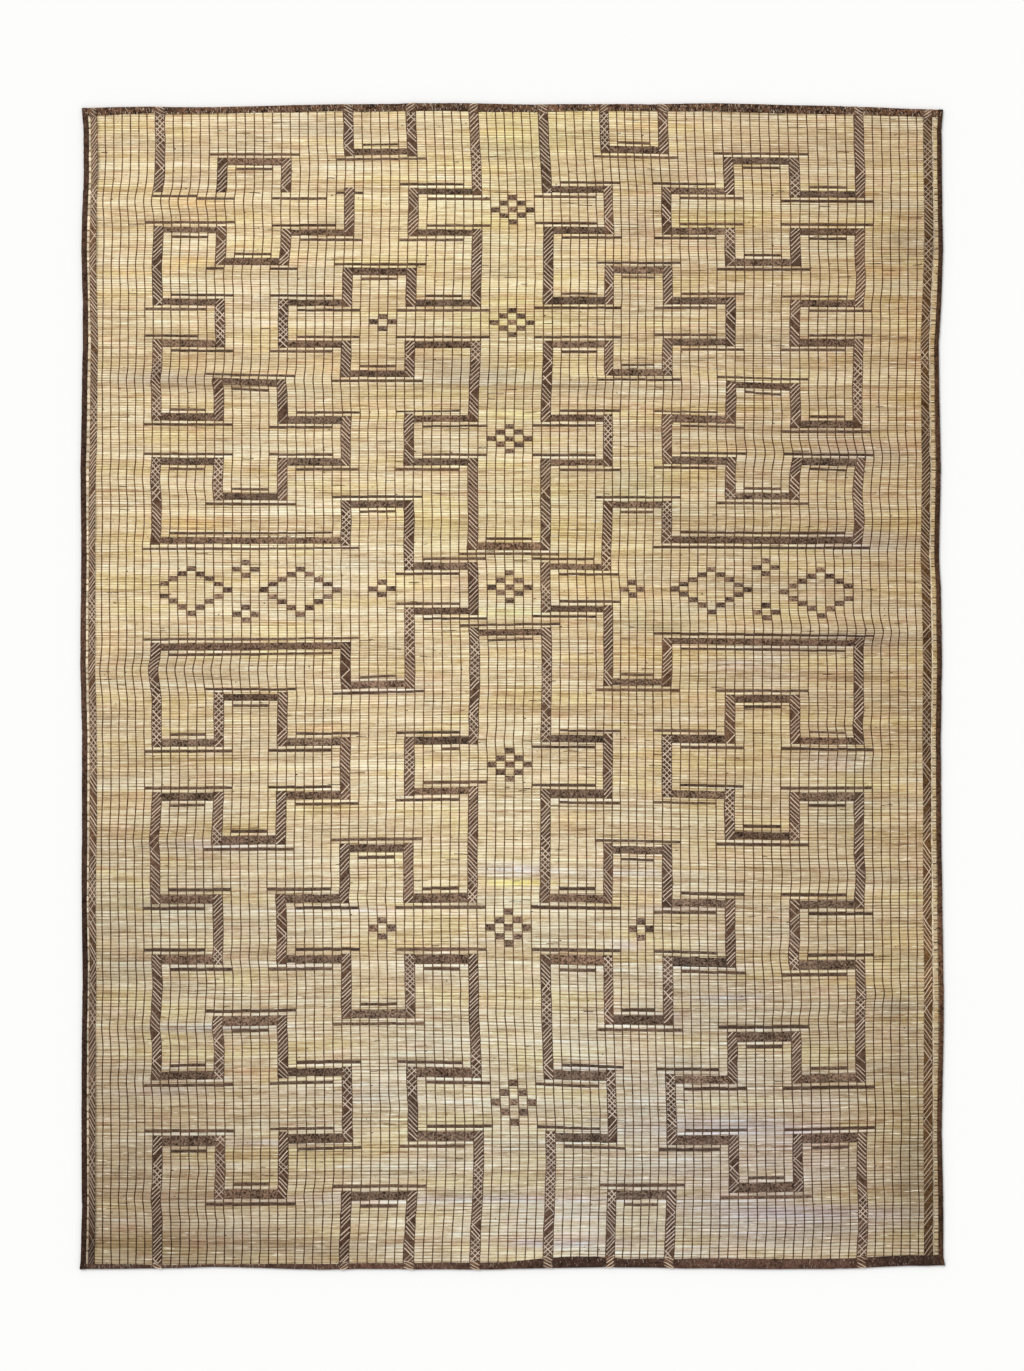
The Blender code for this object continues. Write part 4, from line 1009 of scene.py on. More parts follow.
def uprightPatch(column, upper, lower, draw, over):
    # Leather that fills one column, from thong to thong, a point at every cane
    across = overColumn(over)
    canes = np.arange(upper, lower + 0.5, 1.0)
    canes[-1] = lower
    z = np.array([bandShape[key] for key in ("edge", "top", "uprightTop", "top", "edge")])
    wobble = draw.uniform(-bandShape["wobble"], bandShape["wobble"], (len(canes), 1)) * (across != 0.5)
    base = tone(draw, *bandShape["uprightTones"])
    place = canes[:, None] / bandShape["driftReach"] + column
    drift = 1 + bandShape["drift"] * softNoise(place, place * 0, bandShape["driftSeed"])
    tint = np.broadcast_to((drift[..., None] * base)[None], (1, len(canes), len(across), 3))
    column = (column + across + wobble)[None]
    patch = patchOf(column, canes[None, :, None], z, across=across * 2 - 1, tint=tint)
    return stainedAndShaded(patch, bandShape["stainAndShade"])


def withCorners(upper, lower):
    # An upright run reaches the outer edges of the level runs that it joins
    loose = (design["stubEnd"], design["restStart"])
    top = upper if upper in (headCane,) + loose else upper - design["halfBand"]
    bottom = lower if lower in (footCane,) + loose else lower + design["halfBand"]
    return top, bottom


# Level runs that lie aslant or off their cane: canes down at the left end, and at the right end
drops = {
    (14, 22, 116): (-0.6, 0.1), (7, 29, 222): (0.2, -0.5), (7, 29, 180): (-0.1, -0.6),
    (28, 36, 237): (0.1, -0.5), (14, 22, 241): (0.3, 0.5), (7, 15, 365): (0.5, 0.3),
    (21, 29, 384): (0.6, 0.5), (71, 79, 117): (-0.9, 0.0), (64, 72, 130): (0.0, 0.5),
    (78, 86, 147): (0.0, 0.5), (64, 86, 220): (-0.4, 0.5), (78, 86, 257): (0.2, 0.6),
    (64, 72, 276): (0.4, 0.6), (35, 43, 130): (0.6, 0.2), (57, 65, 69): (0.3, 0.4),
    (57, 65, 111): (0.3, 0.4), (28, 36, 347): (0.5, 0.2), (50, 58, 257): (0.4, 0.4),
    (57, 65, 295): (0.5, 0.6), (50, 58, 365): (0.1, 0.6), (50, 58, 384): (0.1, 0.6),
    (42, 51, 216): (0.7, 0.1), (64, 72, 330): (0.1, 0.4), (28, 36, 21): (-0.1, -0.6),
}
allUprights = []
for number, (nodeName, (uprights, levels)) in enumerate(designBands.items()):
    draw = np.random.default_rng(bandShape["seed"] + number)
    patches = []
    for first, last, cane, leftWay, rightWay in levels:
        half = draw.uniform(*bandShape["levelHalf"])
        slant = drops.get((first, last, cane), (0.0, 0.0))
        patches.append(levelPatch(first, last, cane, half, draw, bandShape["levelTones"], slant))
    if levels:
        makePiece(nodeName + "_levels", patches, leather["level leather"])
    patches = []
    for column, upper, lower in uprights:
        top, bottom = withCorners(upper, lower)
        patches.append(uprightPatch(column, top, bottom, draw, bandShape["uprightOver"]))
        allUprights.append((column, top, bottom))
    piece = makePiece(nodeName + "_leather", patches, leather["band leather"])
    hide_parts(nodeName)


# Thin lines beside the level bands, one cane wide
thinLine = {
    "offset": 3,          # canes from the middle of the band
    "half": 0.45,         # a little narrower than a cane
    "inset": 2,           # columns that it stops short where the band turns its way
    "beyond": 1,          # and runs on where it doesn't
    "tones": (0.8, 1.7), "looseTones": (1.0, 1.6), "seed": 77,
    # Where a line doesn't follow the rule, by the band's first thong, last thong, cane and side: its own
    # runs, each as first thong, last thong, and canes down at its two ends
    "odd": {
        (35, 43, 100, 1): (),
        (35, 43, 258, 1): ((39, 41, 0.0, 0.0),),
        (14, 22, 66, 1): ((13, 15, 0.0, 0.0), (20, 23, 0.0, 0.0)),
        (7, 15, 100, -1): ((6, 12, 0.0, 0.0),),
        (7, 29, 180, 1): ((6, 30, 0.3, -0.6),),
    },
    # Lines that are left of the two worn level runs near the head, on the left
    "loose": ((7, 12, 39.0), (12, 16, 40.0), (20, 26, 40.0), (27, 30, 37.8)),
}


def thinLines():
    draw = np.random.default_rng(thinLine["seed"])
    patches = []
    for first, last, cane, leftWay, rightWay in allLevels:
        for side in (-1, 1):
            start = first + thinLine["inset"] if leftWay == side else first - thinLine["beyond"]
            end = last - thinLine["inset"] if rightWay == side else last + thinLine["beyond"]
            runs = ((start, end, *drops.get((first, last, cane), (0.0, 0.0))),)
            lineCane = cane + side * thinLine["offset"]
            for start, end, *slant in thinLine["odd"].get((first, last, cane, side), runs):
                line = levelPatch(start, end, lineCane, thinLine["half"], draw, thinLine["tones"], slant)
                patches.append(line)
    for start, end, cane in thinLine["loose"]:
        patches.append(levelPatch(start, end, cane, thinLine["half"], draw, thinLine["looseTones"]))
    return patches


makePiece("thin_lines", thinLines(), leather["line leather"])


# Lozenges of small leather squares: middle column, middle cane, canes in each row of squares
filledLozenges = {
    "centre_lozenge_1": (46, 44.5, (2, 3, 2, 3, 2)),
    "centre_lozenge_2": (46, 91.0, (2, 3, 2, 3, 2)),
    "centre_lozenge_3": (46, 138.5, (2, 3, 2, 3, 2)),
    "centre_lozenge_4": (46, 198.5, (3, 3, 2, 3, 3)),
    "centre_lozenge_5": (46, 267.0, (3, 2, 3, 2, 3)),
    "centre_lozenge_6": (46, 320.5, (3, 2, 3, 2, 3)),
    "centre_lozenge_7": (46, 374.0, (3, 3, 3, 3, 3)),
}
openLozenges = {
    "small_lozenge_1": (32, 91.0, (2, 3, 2)),
    "small_lozenge_2": (32, 199.0, (3, 2, 3)),
    "small_lozenge_3": (60, 199.0, (3, 2, 3)),
    "small_lozenge_4": (32, 320.5, (2, 3, 2)),
    "small_lozenge_5": (61, 320.5, (2, 3, 2)),
    "panel_lozenge_1": (17, 191.0, (3, 2, 3)),
    "panel_lozenge_2": (17, 209.0, (3, 2, 3)),
    "panel_lozenge_3": (75, 190.0, (3, 2, 3)),
    "panel_lozenge_4": (75, 208.0, (3, 2, 3)),
    "panel_diamond_1": (11, 200.0, (2, 2, 2, 2, 3, 2, 2, 3, 2)),
    "panel_diamond_2": (23, 200.0, (2, 2, 2, 2, 3, 2, 2, 3, 2)),
    "panel_diamond_3": (69, 199.5, (2, 2, 2, 2, 2, 2, 2, 3, 2)),
    "panel_diamond_4": (81, 200.0, (3, 2, 2, 2, 3, 2, 2, 3, 2)),
}
lostSquares = {"panel_diamond_1": (-4, 0), "panel_diamond_4": (4, 0)}
squareShape = {"half": 1.05, "tones": (0.85, 1.6), "seed": 900}     # half its height, in canes


def squarePatch(column, upper, lower, draw):
    # A square hangs from the head side of its row
    gap = max((lower - upper) / 2 - squareShape["half"], 0.0)
    middle = (upper + lower) / 2 - gap / 2
    return levelPatch(column, column + 1, middle, (lower - upper) / 2 - gap, draw, squareShape["tones"])


def lozenge(name, middleColumn, middleCane, rows, seed):
    draw = np.random.default_rng(seed)
    edges = middleCane - sum(rows) / 2 + np.concatenate([[0], np.cumsum(rows)])
    radius = len(rows) // 2
    patches = []
    for row in range(-radius, radius + 1):
        reach = radius - abs(row)
        steps = range(-reach, reach + 1, 2) if name in filledLozenges else sorted({-reach, reach})
        for step in steps:
            if lostSquares.get(name) != (step, row):
                upper, lower = edges[row + radius:row + radius + 2]
                patches.append(squarePatch(middleColumn + step, upper, lower, draw))
    piece = makePiece(name + "_squares", patches, leather["level leather"])
    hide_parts(name)


for number, (name, row) in enumerate({**filledLozenges, **openLozenges}.items()):
    lozenge(name, *row, seed=squareShape["seed"] + number)


# How pale the side strips are: distance from the head, then each of the strips
wornStrips = ("left_braid", "right_braid", "sewn_line", "left_binding", "right_binding")
sideWear = np.array([
    (0.05, 1.0, 0.62, 0.88, 1.7, 1.2), (0.17, 0.92, 0.82, 0.88, 1.7, 1.6),
    (0.3, 1.05, 0.72, 0.7, 1.9, 1.3), (0.48, 0.9, 0.8, 0.82, 2.0, 1.4), (0.6, 0.82, 0.86, 0.9, 1.3, 1.7),
    (0.8, 0.95, 0.62, 0.75, 1.2, 1.8), (0.95, 0.85, 0.76, 0.85, 1.6, 1.3),
    (1.1, 0.92, 0.9, 1.08, 1.8, 1.8), (1.21, 0.93, 0.86, 1.12, 2.6, 1.7),
    (1.32, 0.9, 0.78, 1.0, 2.1, 1.4), (1.5, 0.9, 0.65, 0.9, 1.8, 1.5), (1.65, 1.0, 0.74, 0.92, 1.3, 2.1),
    (1.75, 0.95, 1.15, 1.0, 1.5, 1.5), (1.85, 0.85, 1.1, 1.12, 1.0, 2.3), (2.0, 0.68, 1.3, 1.1, 1.0, 3.3),
    (2.15, 0.8, 0.9, 0.86, 0.9, 2.3), (2.35, 0.76, 0.95, 0.7, 1.0, 1.9),
    (2.55, 0.66, 0.88, 0.52, 0.9, 1.0), (2.7, 0.4, 0.5, 0.66, 0.9, 1.7),
])
stripColours = {
    "left_braid": (1.16, 1.17, 1.10), "right_braid": (1.12, 1.02, 0.65),
    "left_binding": (1.0, 1.0, 1.0), "right_binding": (1.0, 0.96, 0.80),
}


def worn(patch, strip, colour=(1.0, 1.0, 1.0)):
    points, places, tints = patch
    wear = chartAt(sideWear, fromHead(points[..., 1]), wornStrips.index(strip) + 1)
    return points, places, tints * wear[..., None] * np.array(colour)


# Side braids: a leather strip like an upright band, just inside each side
braidSeeds = {"left": 61, "right": 62}
for name, seed in braidSeeds.items():
    nodeName = name + "_braid"
    draw = np.random.default_rng(seed)
    patch = uprightPatch(sideColumns[name + "Braid"], headCane, footCane, draw, bandShape["braidOver"])
    patch = worn(patch, nodeName, stripColours[nodeName])
    piece = makePiece(nodeName + "_leather", [patch], leather["band leather"])
    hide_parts(nodeName)


# Threads: pale thread wound aslant over the upright bands and the side braids
threads = {
    "spacing": 0.0100, "rise": 0.0205, "halfWidth": 0.00105, "uneven": 0.25,
    "low": 0.0060, "high": 0.0069, "reach": (0.02, 0.98), "points": 4,
    "runLength": (3, 10), "ways": ("up", "down", "both"), "waysShare": (0.44, 0.38, 0.18),
    "missing": 0.05, "endGap": 0.3, "bothStep": 1.25,
    "shortest": 0.25, "level": 0.01,      # a thread that drops by less than this counts as level
    "shades": (0.65, 1.25), "endShades": (0.75, 1.2), "stainAndShade": 0.5, "onBraid": 0.9,
    "widths": (0.75, 1.25), "arch": 0.5, "seed": 1234,
}
# Pale threads and the cane ends beside them: dark and light colour
threadColours = {
    "pale thread": ((0.40, 0.290, 0.205), (0.80, 0.650, 0.490)),
    "pale cane end": ((0.66, 0.52, 0.34), (0.95, 0.82, 0.62)),
}
threadGrain = {
    "roughness": 0.75, "specular": 0.2,
    "noise": (1100.0, 2.0, 0.5), "share": (0.3, 0.7), "bump": (0.4, 0.0003),
}


def threadMaterial(name):
    material, tree, shader = newMaterial(name, threadGrain["roughness"], threadGrain["specular"])
    twist = grainNoise(tree, *threadGrain["noise"])
    colour = blendColours(tree, "MIX", spread(tree, twist, *threadGrain["share"]), *threadColours[name])
    finishMaterial(tree, shader, tinted(tree, colour), twist, threadGrain["bump"])
    return material


def threadLines(column, upper, lower, draw):
    # Threads of one band, as start column, start cane, end column, end cane
    spacing = caneSpacing(np.interp((upper + lower) / 2, caneNumbers, canePlaces))
    step = threads["spacing"] / spacing
    rise = threads["rise"] / spacing
    left, right = threads["reach"]
    found = []
    cane = upper + threads["endGap"]
    while cane < lower - threads["endGap"]:
        way = draw.choice(threads["ways"], p=threads["waysShare"])
        for _ in range(draw.integers(*threads["runLength"])):
            for thisWay in ("up", "down"):
                if way not in (thisWay, "both") or draw.random() < threads["missing"]:
                    continue
                jitter = draw.uniform(-threads["uneven"], threads["uneven"], 2)
                low = cane + rise / 2 + jitter[0]
                high = cane - rise / 2 + jitter[1]
                start, end = (low, high) if thisWay == "up" else (high, low)
                found.append((column + left, start, column + right, end))
            cane += step * (threads["bothStep"] if way == "both" else 1.0)
            if cane > lower - threads["endGap"]:
                break
    return clippedThreads(np.array(found), upper, lower)


def clippedThreads(found, upper, lower):
    # A thread that would run past the end of its band stops there
    startColumn, startCane, endColumn, endCane = found.T
    drop = endCane - startCane
    safe = np.where(np.abs(drop) < threads["level"], threads["level"], drop)
    stops = [np.clip(cane, upper, lower) for cane in (startCane, endCane)]
    shares = [np.clip((stop - startCane) / safe, 0, 1) for stop in stops]
    width = endColumn - startColumn
    made = [value for share in shares for value in (startColumn + width * share, startCane + drop * share)]
    return np.stack(made, -1)[shares[1] - shares[0] > threads["shortest"]]


def strandPatch(x, y, low, high, halfWidth, draw, shades):
    # Raised strands through rows of points, their ends tucked in
    stepX = np.gradient(x, axis=1)
    stepY = np.gradient(y, axis=1)
    length = np.hypot(stepX, stepY)
    half = halfWidth * draw.uniform(*threads["widths"], (len(x), 1, 1))
    alongX = x[:, :, None] - (stepY / length)[:, :, None] * ridge * half
    alongY = y[:, :, None] + (stepX / length)[:, :, None] * ridge * half
    lift = np.sin(np.linspace(0, np.pi, x.shape[1])) ** threads["arch"]
    z = np.broadcast_to(low + (high - low) * lift[:, None] * (ridge == 0), alongX.shape)
    points = np.stack([alongX, alongY, z], -1)
    tint = np.broadcast_to(draw.uniform(*shades, (len(x), 1, 1, 1)), points.shape)
    return points, np.zeros(points.shape), tint


def threadPatch(found, draw, halfWidth):
    share = np.linspace(0, 1, threads["points"])
    start = found[:, :2, None]
    along = start + (found[:, 2:, None] - start) * share
    x, y = weaveAt(along[:, 0], along[:, 1])
    patch = strandPatch(x, y, threads["low"], threads["high"], halfWidth, draw, threads["shades"])
    return stainedAndShaded(patch, threads["stainAndShade"])


threadFinish = threadMaterial("pale thread")
draw = np.random.default_rng(threads["seed"])
found = np.concatenate([threadLines(column, top, bottom, draw) for column, top, bottom in allUprights])
makePiece("band_threads", [threadPatch(found, draw, threads["halfWidth"])], threadFinish)
for name in ("left", "right"):
    found = threadLines(sideColumns[name + "Braid"], headCane + 1, footCane - 1, draw)
    patch = worn(threadPatch(found, draw, threads["halfWidth"] * threads["onBraid"]), name + "_braid")
    makePiece(name + "_braid_threads", [patch], threadFinish)


# Bindings: leather folded over each edge, open towards the mat
bindings = {
    "sideTop": {"left": 0.0128, "right": 0.0110},
    "sidePoints": 520, "endPoints": 420, "cornerGap": 0.0003,
    # Leather, slot, whether the faces are turned over, and seed
    "finish": {
        "left": ("side leather", "side_leather", False, 41),
        "right": ("side leather", "side_leather", True, 42),
        "head": ("head leather", "end_leather", False, 43),
        "foot": ("foot leather", "end_leather", True, 44),
    },
    "height": 0.0066,
    # The section round the fold, each point as a share of the width on top and what is added to it,
    # then a share of the height and what is added to that
    "section": (
        (0.0, 0.0110, 0.0, 0.0011), (0.0, 0.0110, 0.0, 0.0000), (0.0, 0.0008, 0.0, 0.0000),
        (0.0, 0.0000, 0.0, 0.0009), (0.0, 0.0000, 0.55, 0.0000), (0.0, 0.0004, 1.0, -0.0008),
        (0.0, 0.0016, 1.0, 0.0000), (0.5, 0.0000, 1.0, 0.0003), (1.0, -0.0010, 1.0, 0.0000),
        (1.0, 0.0000, 1.0, -0.0007), (1.0, 0.0000, 0.0, 0.0053), (0.0, 0.0014, 0.0, 0.0053),
        (0.0, 0.0014, 0.0, 0.0011), (0.0, 0.0110, 0.0, 0.0011),
    ),
    # How uneven the cut edges are: how far, over what length, how rough, and the inner edge's share
    "wobble": 0.0010, "wobbleReach": 0.045, "rough": 0.4, "inner": 0.6, "innerReach": 0.02, "start": 40,
}

# The end bindings: place across, how wide the binding is there on top, and how pale
endCharts = {
    "head": np.array([
        (-0.93, 0.0183, 1.0), (-0.85, 0.016, 1.0), (-0.57, 0.0153, 1.05), (-0.5, 0.0175, 0.92),
        (-0.43, 0.016, 1.0), (-0.36, 0.0184, 0.88), (-0.22, 0.0185, 0.9), (-0.15, 0.0185, 0.66),
        (-0.08, 0.0198, 0.7), (-0.03, 0.0193, 1.0), (0.04, 0.0182, 0.78), (0.1, 0.017, 1.15),
        (0.16, 0.0165, 0.97), (0.25, 0.0163, 1.15), (0.32, 0.0161, 0.82), (0.4, 0.0183, 1.03),
        (0.47, 0.0192, 1.0), (0.54, 0.0203, 0.7), (0.61, 0.0201, 0.78), (0.75, 0.0198, 0.9),
        (0.82, 0.0178, 0.9), (0.92, 0.0182, 1.0),
    ]),
    "foot": np.array([
        (-0.95, 0.012, 1.1), (-0.9, 0.0115, 1.15), (-0.84, 0.0088, 1.2), (-0.75, 0.007, 1.2),
        (-0.66, 0.007, 1.2), (-0.59, 0.0092, 1.2), (-0.5, 0.013, 1.2), (-0.42, 0.0138, 1.4),
        (-0.3, 0.0145, 1.6), (-0.2, 0.0158, 1.5), (-0.1, 0.017, 1.15), (0.0, 0.0175, 1.1),
        (0.05, 0.0222, 0.95), (0.12, 0.0265, 0.65), (0.19, 0.026, 0.68), (0.26, 0.02, 0.75),
        (0.33, 0.0217, 0.95), (0.47, 0.024, 1.35), (0.6, 0.024, 1.4), (0.75, 0.024, 1.35),
        (0.83, 0.0245, 1.0), (0.9, 0.025, 0.62),
    ]),
}


def bindingPatch(along, place, topWidth, seed, tint=1.0):
    share, past, heightShare, lift = np.array(bindings["section"]).T
    depth = topWidth[:, None] * share + past
    z = along[:, None] * 0 + heightShare * bindings["height"] + lift
    far = bindings["wobble"]
    flat = along * 0 + 0.5
    draw = np.random.default_rng(seed)
    start = bindings["start"]
    wobble = far * softNoise(along / bindings["wobbleReach"] + start, flat, seed)
    wobble = wobble + far * bindings["rough"] * draw.uniform(-1, 1, len(along))
    inner = softNoise(along / bindings["innerReach"] + start, flat, seed + 1) * far * bindings["inner"]
    outerShare = np.clip(1 - depth / bindings["sideTop"]["left"], 0, 1)
    depth = depth - np.minimum(wobble, 0.0)[:, None] * outerShare - inner[:, None] * (1 - outerShare)
    x, y = place(along[:, None], depth)
    points = np.stack([x, y, z], -1)[None]
    around = np.linspace(0, 1, len(share))
    parts = (along[None, :, None], around, (depth / np.max(depth))[None])
    places = np.stack([np.broadcast_to(part, points.shape[:-1]) for part in parts], -1)
    return points, places, np.broadcast_to(tint, points.shape)


def sidePlace(name):
    def place(y, depth):
        x = sideEdge(name, y) + sides[name]["inward"] * depth
        share = (y + weave["halfLength"]) / (2 * weave["halfLength"])
        foot = endEdge("foot", x)
        return x, foot + share * (endEdge("head", x) - foot)
    return place


def endPlace(name):
    def place(x, depth):
        return np.broadcast_arrays(x, endEdge(name, x) - ends[name]["outward"] * depth)
    return place


def widthAt(name, x):
    return chartAt(endCharts[name], x, 1)


def endReach(name):
    # An end binding runs from one side binding to the other
    y = ends[name]["outward"] * weave["halfLength"]
    reach = []
    for side in ("left", "right"):
        inside = bindings["sideTop"][side] + bindings["cornerGap"]
        reach.append(float(sideEdge(side, y)) + sides[side]["inward"] * inside)
    return reach


def sideBinding(name, seed):
    along = np.linspace(-weave["halfLength"], weave["halfLength"], bindings["sidePoints"])
    topWidth = np.full(len(along), bindings["sideTop"][name])
    patch = bindingPatch(along, sidePlace(name), topWidth, seed)
    return worn(patch, name + "_binding", stripColours[name + "_binding"])


def endBinding(name, seed):
    along = np.linspace(*endReach(name), bindings["endPoints"])
    paleness = chartAt(endCharts[name], along, 2)[:, None, None]
    return bindingPatch(along, endPlace(name), widthAt(name, along), seed, paleness)


for name, (finish, slotName, turned, seed) in bindings["finish"].items():
    nodeName = name + "_binding"
    patch = sideBinding(name, seed) if name in sides else endBinding(name, seed)
    title = nodeName + "_leather"
    piece = makePiece(title, [patch], leather[finish], weld=True, turned=turned)
    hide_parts(nodeName)


# Hairs: short pale threads sewn aslant over the end bindings
hairs = {
    "head": {"count": 1500, "shades": (0.45, 1.25)},
    "foot": {"count": 700, "shades": (0.25, 0.75)},
    "length": (0.0030, 0.0085), "halfWidth": 0.00060, "darkShare": 0.5, "darkest": 0.06,
    "lean": 0.45, "low": 0.0066, "high": 0.0074,
    "past": 0.008,                            # how far on to the side bindings they go
    "start": (0.0002, 1.0), "inside": 0.7,    # and how much of one stays on the binding
    "points": 3, "seed": 71,
}


def hairPatch(name, draw):
    count = hairs[name]["count"]
    left, right = endReach(name)
    along = draw.uniform(left - hairs["past"], right + hairs["past"], count)
    length = draw.uniform(*hairs["length"], count)
    start = draw.uniform(*hairs["start"], count) * (widthAt(name, along) - length * hairs["inside"])
    lean = length * draw.uniform(-1, 1, count) * hairs["lean"]
    share = np.linspace(0, 1, hairs["points"])
    x, y = endPlace(name)(along[:, None] + lean[:, None] * share, start[:, None] + length[:, None] * share)
    patch = strandPatch(x, y, hairs["low"], hairs["high"], hairs["halfWidth"], draw, hairs[name]["shades"])
    points, places, tint = patch
    dark = draw.random((count, 1, 1, 1)) < hairs["darkShare"]
    return points, places, np.where(dark, tint * hairs["darkest"], tint)


draw = np.random.default_rng(hairs["seed"])
for name in ("head", "foot"):
    makePiece(name + "_hairs", [hairPatch(name, draw)], threadFinish)


# Band ends: the upright bands run on over the end bindings, and so do the braids at the head
bandEnds = {
    "low": 0.0062, "high": 0.0070, "shoulder": 0.0002, "start": 0.0012, "past": 0.0035, "rows": 5,
    "cane": {"head": 3, "foot": 422},         # where a band's width is read
    "threadStep": 0.8, "threadRise": 0.6, "threadFrom": 0.001, "threadTop": 0.0009, "threadIn": 0.0008,
    "seed": 72,
}


def bandEnd(name, column, over, draw):
    x = weaveAt(column + overColumn(over), bandEnds["cane"][name])[0]
    share = np.linspace(0, 1, bandEnds["rows"])[:, None]
    depth = bandEnds["start"] + (widthAt(name, x) + bandEnds["past"] - bandEnds["start"]) * share
    x, y = endPlace(name)(np.broadcast_to(x, depth.shape), depth)
    low = bandEnds["low"]
    high = bandEnds["high"]
    z = np.array((low, high - bandEnds["shoulder"], high, high - bandEnds["shoulder"], low))
    points = np.stack([x, y, np.broadcast_to(z, depth.shape)], -1)[None]
    tint = np.broadcast_to(tone(draw, *bandShape["uprightTones"]), points.shape)
    return points, np.zeros(points.shape), tint


def endThreads(name, column, draw):
    # Threads that cross a band's end, all leaning one way
    left, right = weaveAt(column + np.array(threads["reach"]), bandEnds["cane"][name])[0]
    deep = widthAt(name, left) + bandEnds["past"]
    uneven = bandEnds["threadFrom"]
    start = np.arange(uneven, deep, threads["spacing"] * bandEnds["threadStep"])
    start = start + draw.uniform(-uneven, uneven, len(start))
    rise = draw.choice((-1, 1)) * threads["rise"] * bandEnds["threadRise"]
    share = np.linspace(0, 1, threads["points"])
    depth = np.clip(start[:, None] + rise * (share - 0.5), bandEnds["threadIn"], deep)
    x, y = endPlace(name)(np.broadcast_to(left + (right - left) * share, depth.shape), depth)
    low = bandEnds["high"] - bandEnds["shoulder"]
    top = bandEnds["high"] + bandEnds["threadTop"]
    return strandPatch(x, y, low, top, threads["halfWidth"], draw, threads["endShades"])


draw = np.random.default_rng(bandEnds["seed"])
endPatches = []
endLines = []
endRuns = [(column, top, bottom, bandShape["uprightOver"]) for column, top, bottom in allUprights]
for column in (sideColumns["leftBraid"], sideColumns["rightBraid"]):
    endRuns.append((column, headCane, None, bandShape["braidOver"]))
for column, top, bottom, over in endRuns:
    for name, reached in (("head", top == headCane), ("foot", bottom == footCane)):
        if reached:
            endPatches.append(bandEnd(name, column, over, draw))
            endLines.append(endThreads(name, column, draw))
makePiece("band_ends", endPatches, leather["band leather"])
makePiece("end_threads", endLines, threadFinish)


# Edge lines: pale ends of canes along the left side, a pale sewn line and a thin thong on the right
edgeLines = {
    "beadColumn": -1.70, "beadHalfColumn": 0.085, "beadStep": (1.6, 3.0), "beadShare": 0.43,
    "beadSteps": (-1.0, -0.7, 0.0, 0.7, 1.0), "beadWidths": (0.25, 0.8, 1.0, 0.8, 0.25),
    "beadLow": 0.0049, "beadHigh": 0.0058, "beadShades": (0.60, 1.10), "beadStainAndShade": 0.8,
    # Column, first cane, half width, height and shades of the two lines
    "sewn": (94.65, 0, 0.0022, 0.0060, (0.45, 1.00)),
    "thin": (94.83, 120, 0.0010, 0.0055, (0.7, 1.3)),
    "uneven": 0.10, "unevenReach": 0.7, "unevenSeed": 15, "seed": 73,
}


def beads(draw):
    steps = draw.uniform(*edgeLines["beadStep"], weave["canes"])
    middles = np.cumsum(steps)
    kept = middles < weave["canes"]
    half = (steps[kept] * edgeLines["beadShare"])[:, None, None]
    along = np.array(edgeLines["beadSteps"])[:, None]
    width = edgeLines["beadHalfColumn"] * np.array(edgeLines["beadWidths"])[:, None]
    column = edgeLines["beadColumn"] + ridge * width
    cane = middles[kept][:, None, None] + along * half
    z = ridgeHeights(edgeLines["beadHigh"], edgeLines["beadLow"])
    shade = draw.uniform(*edgeLines["beadShades"], (len(half), 1, 1, 1))
    tint = np.broadcast_to(shade, (len(half), len(along), len(ridge), 3))
    return stainedAndShaded(patchOf(column[None], cane, z, tint=tint), edgeLines["beadStainAndShade"])


def sewnLine(column, first, halfWidth, top, shades, draw):
    canes = np.arange(first, weave["canes"] + 0.5, 0.5)
    waver = softNoise(canes * edgeLines["unevenReach"], canes * 0, edgeLines["unevenSeed"])
    half = halfWidth * (1 + edgeLines["uneven"] * waver)[None, :, None]
    tint = np.broadcast_to(draw.uniform(*shades, (1, len(canes), 1, 1)), (1, len(canes), 3, 3))
    z = ridgeHeights(top, caneShape["base"])
    return patchOf(column, canes[None, :, None], z, half * ridge, ridge, tint)


endFinish = threadMaterial("pale cane end")
draw = np.random.default_rng(edgeLines["seed"])
sewn = worn(sewnLine(*edgeLines["sewn"], draw), "sewn_line")
thin = sewnLine(*edgeLines["thin"], draw)
makePiece("left_cane_ends", [beads(draw)], endFinish)
makePiece("right_sewn_line", [sewn], endFinish)
makePiece("right_thin_thong", [thin], leather["thong leather"])


# Cracks: dark splits along the canes, most of them starting at a thong, and dark dots beside thongs
cracks = {
    # How many, how long in columns, half width, how far they wander in canes
    "splits": (300, (0.35, 1.9), 0.00075, 0.14),
    "dots": (420, (0.10, 0.20), 0.0010, 0.05),
    "starts": (0.06, 0.06, 0.45), "low": 0.0048, "high": 0.0056, "shades": (0.5, 1.5), "points": 5,
    "dashStep": (1.5, 5.0), "dashColumns": (94.62, 94.98), "dashStarts": (0.0, 0.0, 0.14),
    "dashHalf": 0.0009, "dashTop": 0.0066, "dashSlant": 0.4, "dashPoints": 4,
    "margin": 3, "dashMargin": 2, "seed": 74,       # canes at the ends that have none
}


def crackPatch(count, length, halfWidth, wander, draw):
    points = cracks["points"]
    start = draw.integers(0, lastThong, count)[:, None] + draw.choice(cracks["starts"], count)[:, None]
    cane = draw.uniform(cracks["margin"], weave["canes"] - cracks["margin"], count)[:, None]
    run = draw.uniform(*length, count)[:, None]
    bend = np.cumsum(draw.uniform(-1, 1, (count, points)), 1) * wander
    x, y = weaveAt(np.minimum(start + run * np.linspace(0, 1, points), lastThong), cane + bend)
    return strandPatch(x, y, cracks["low"], cracks["high"], halfWidth, draw, cracks["shades"])


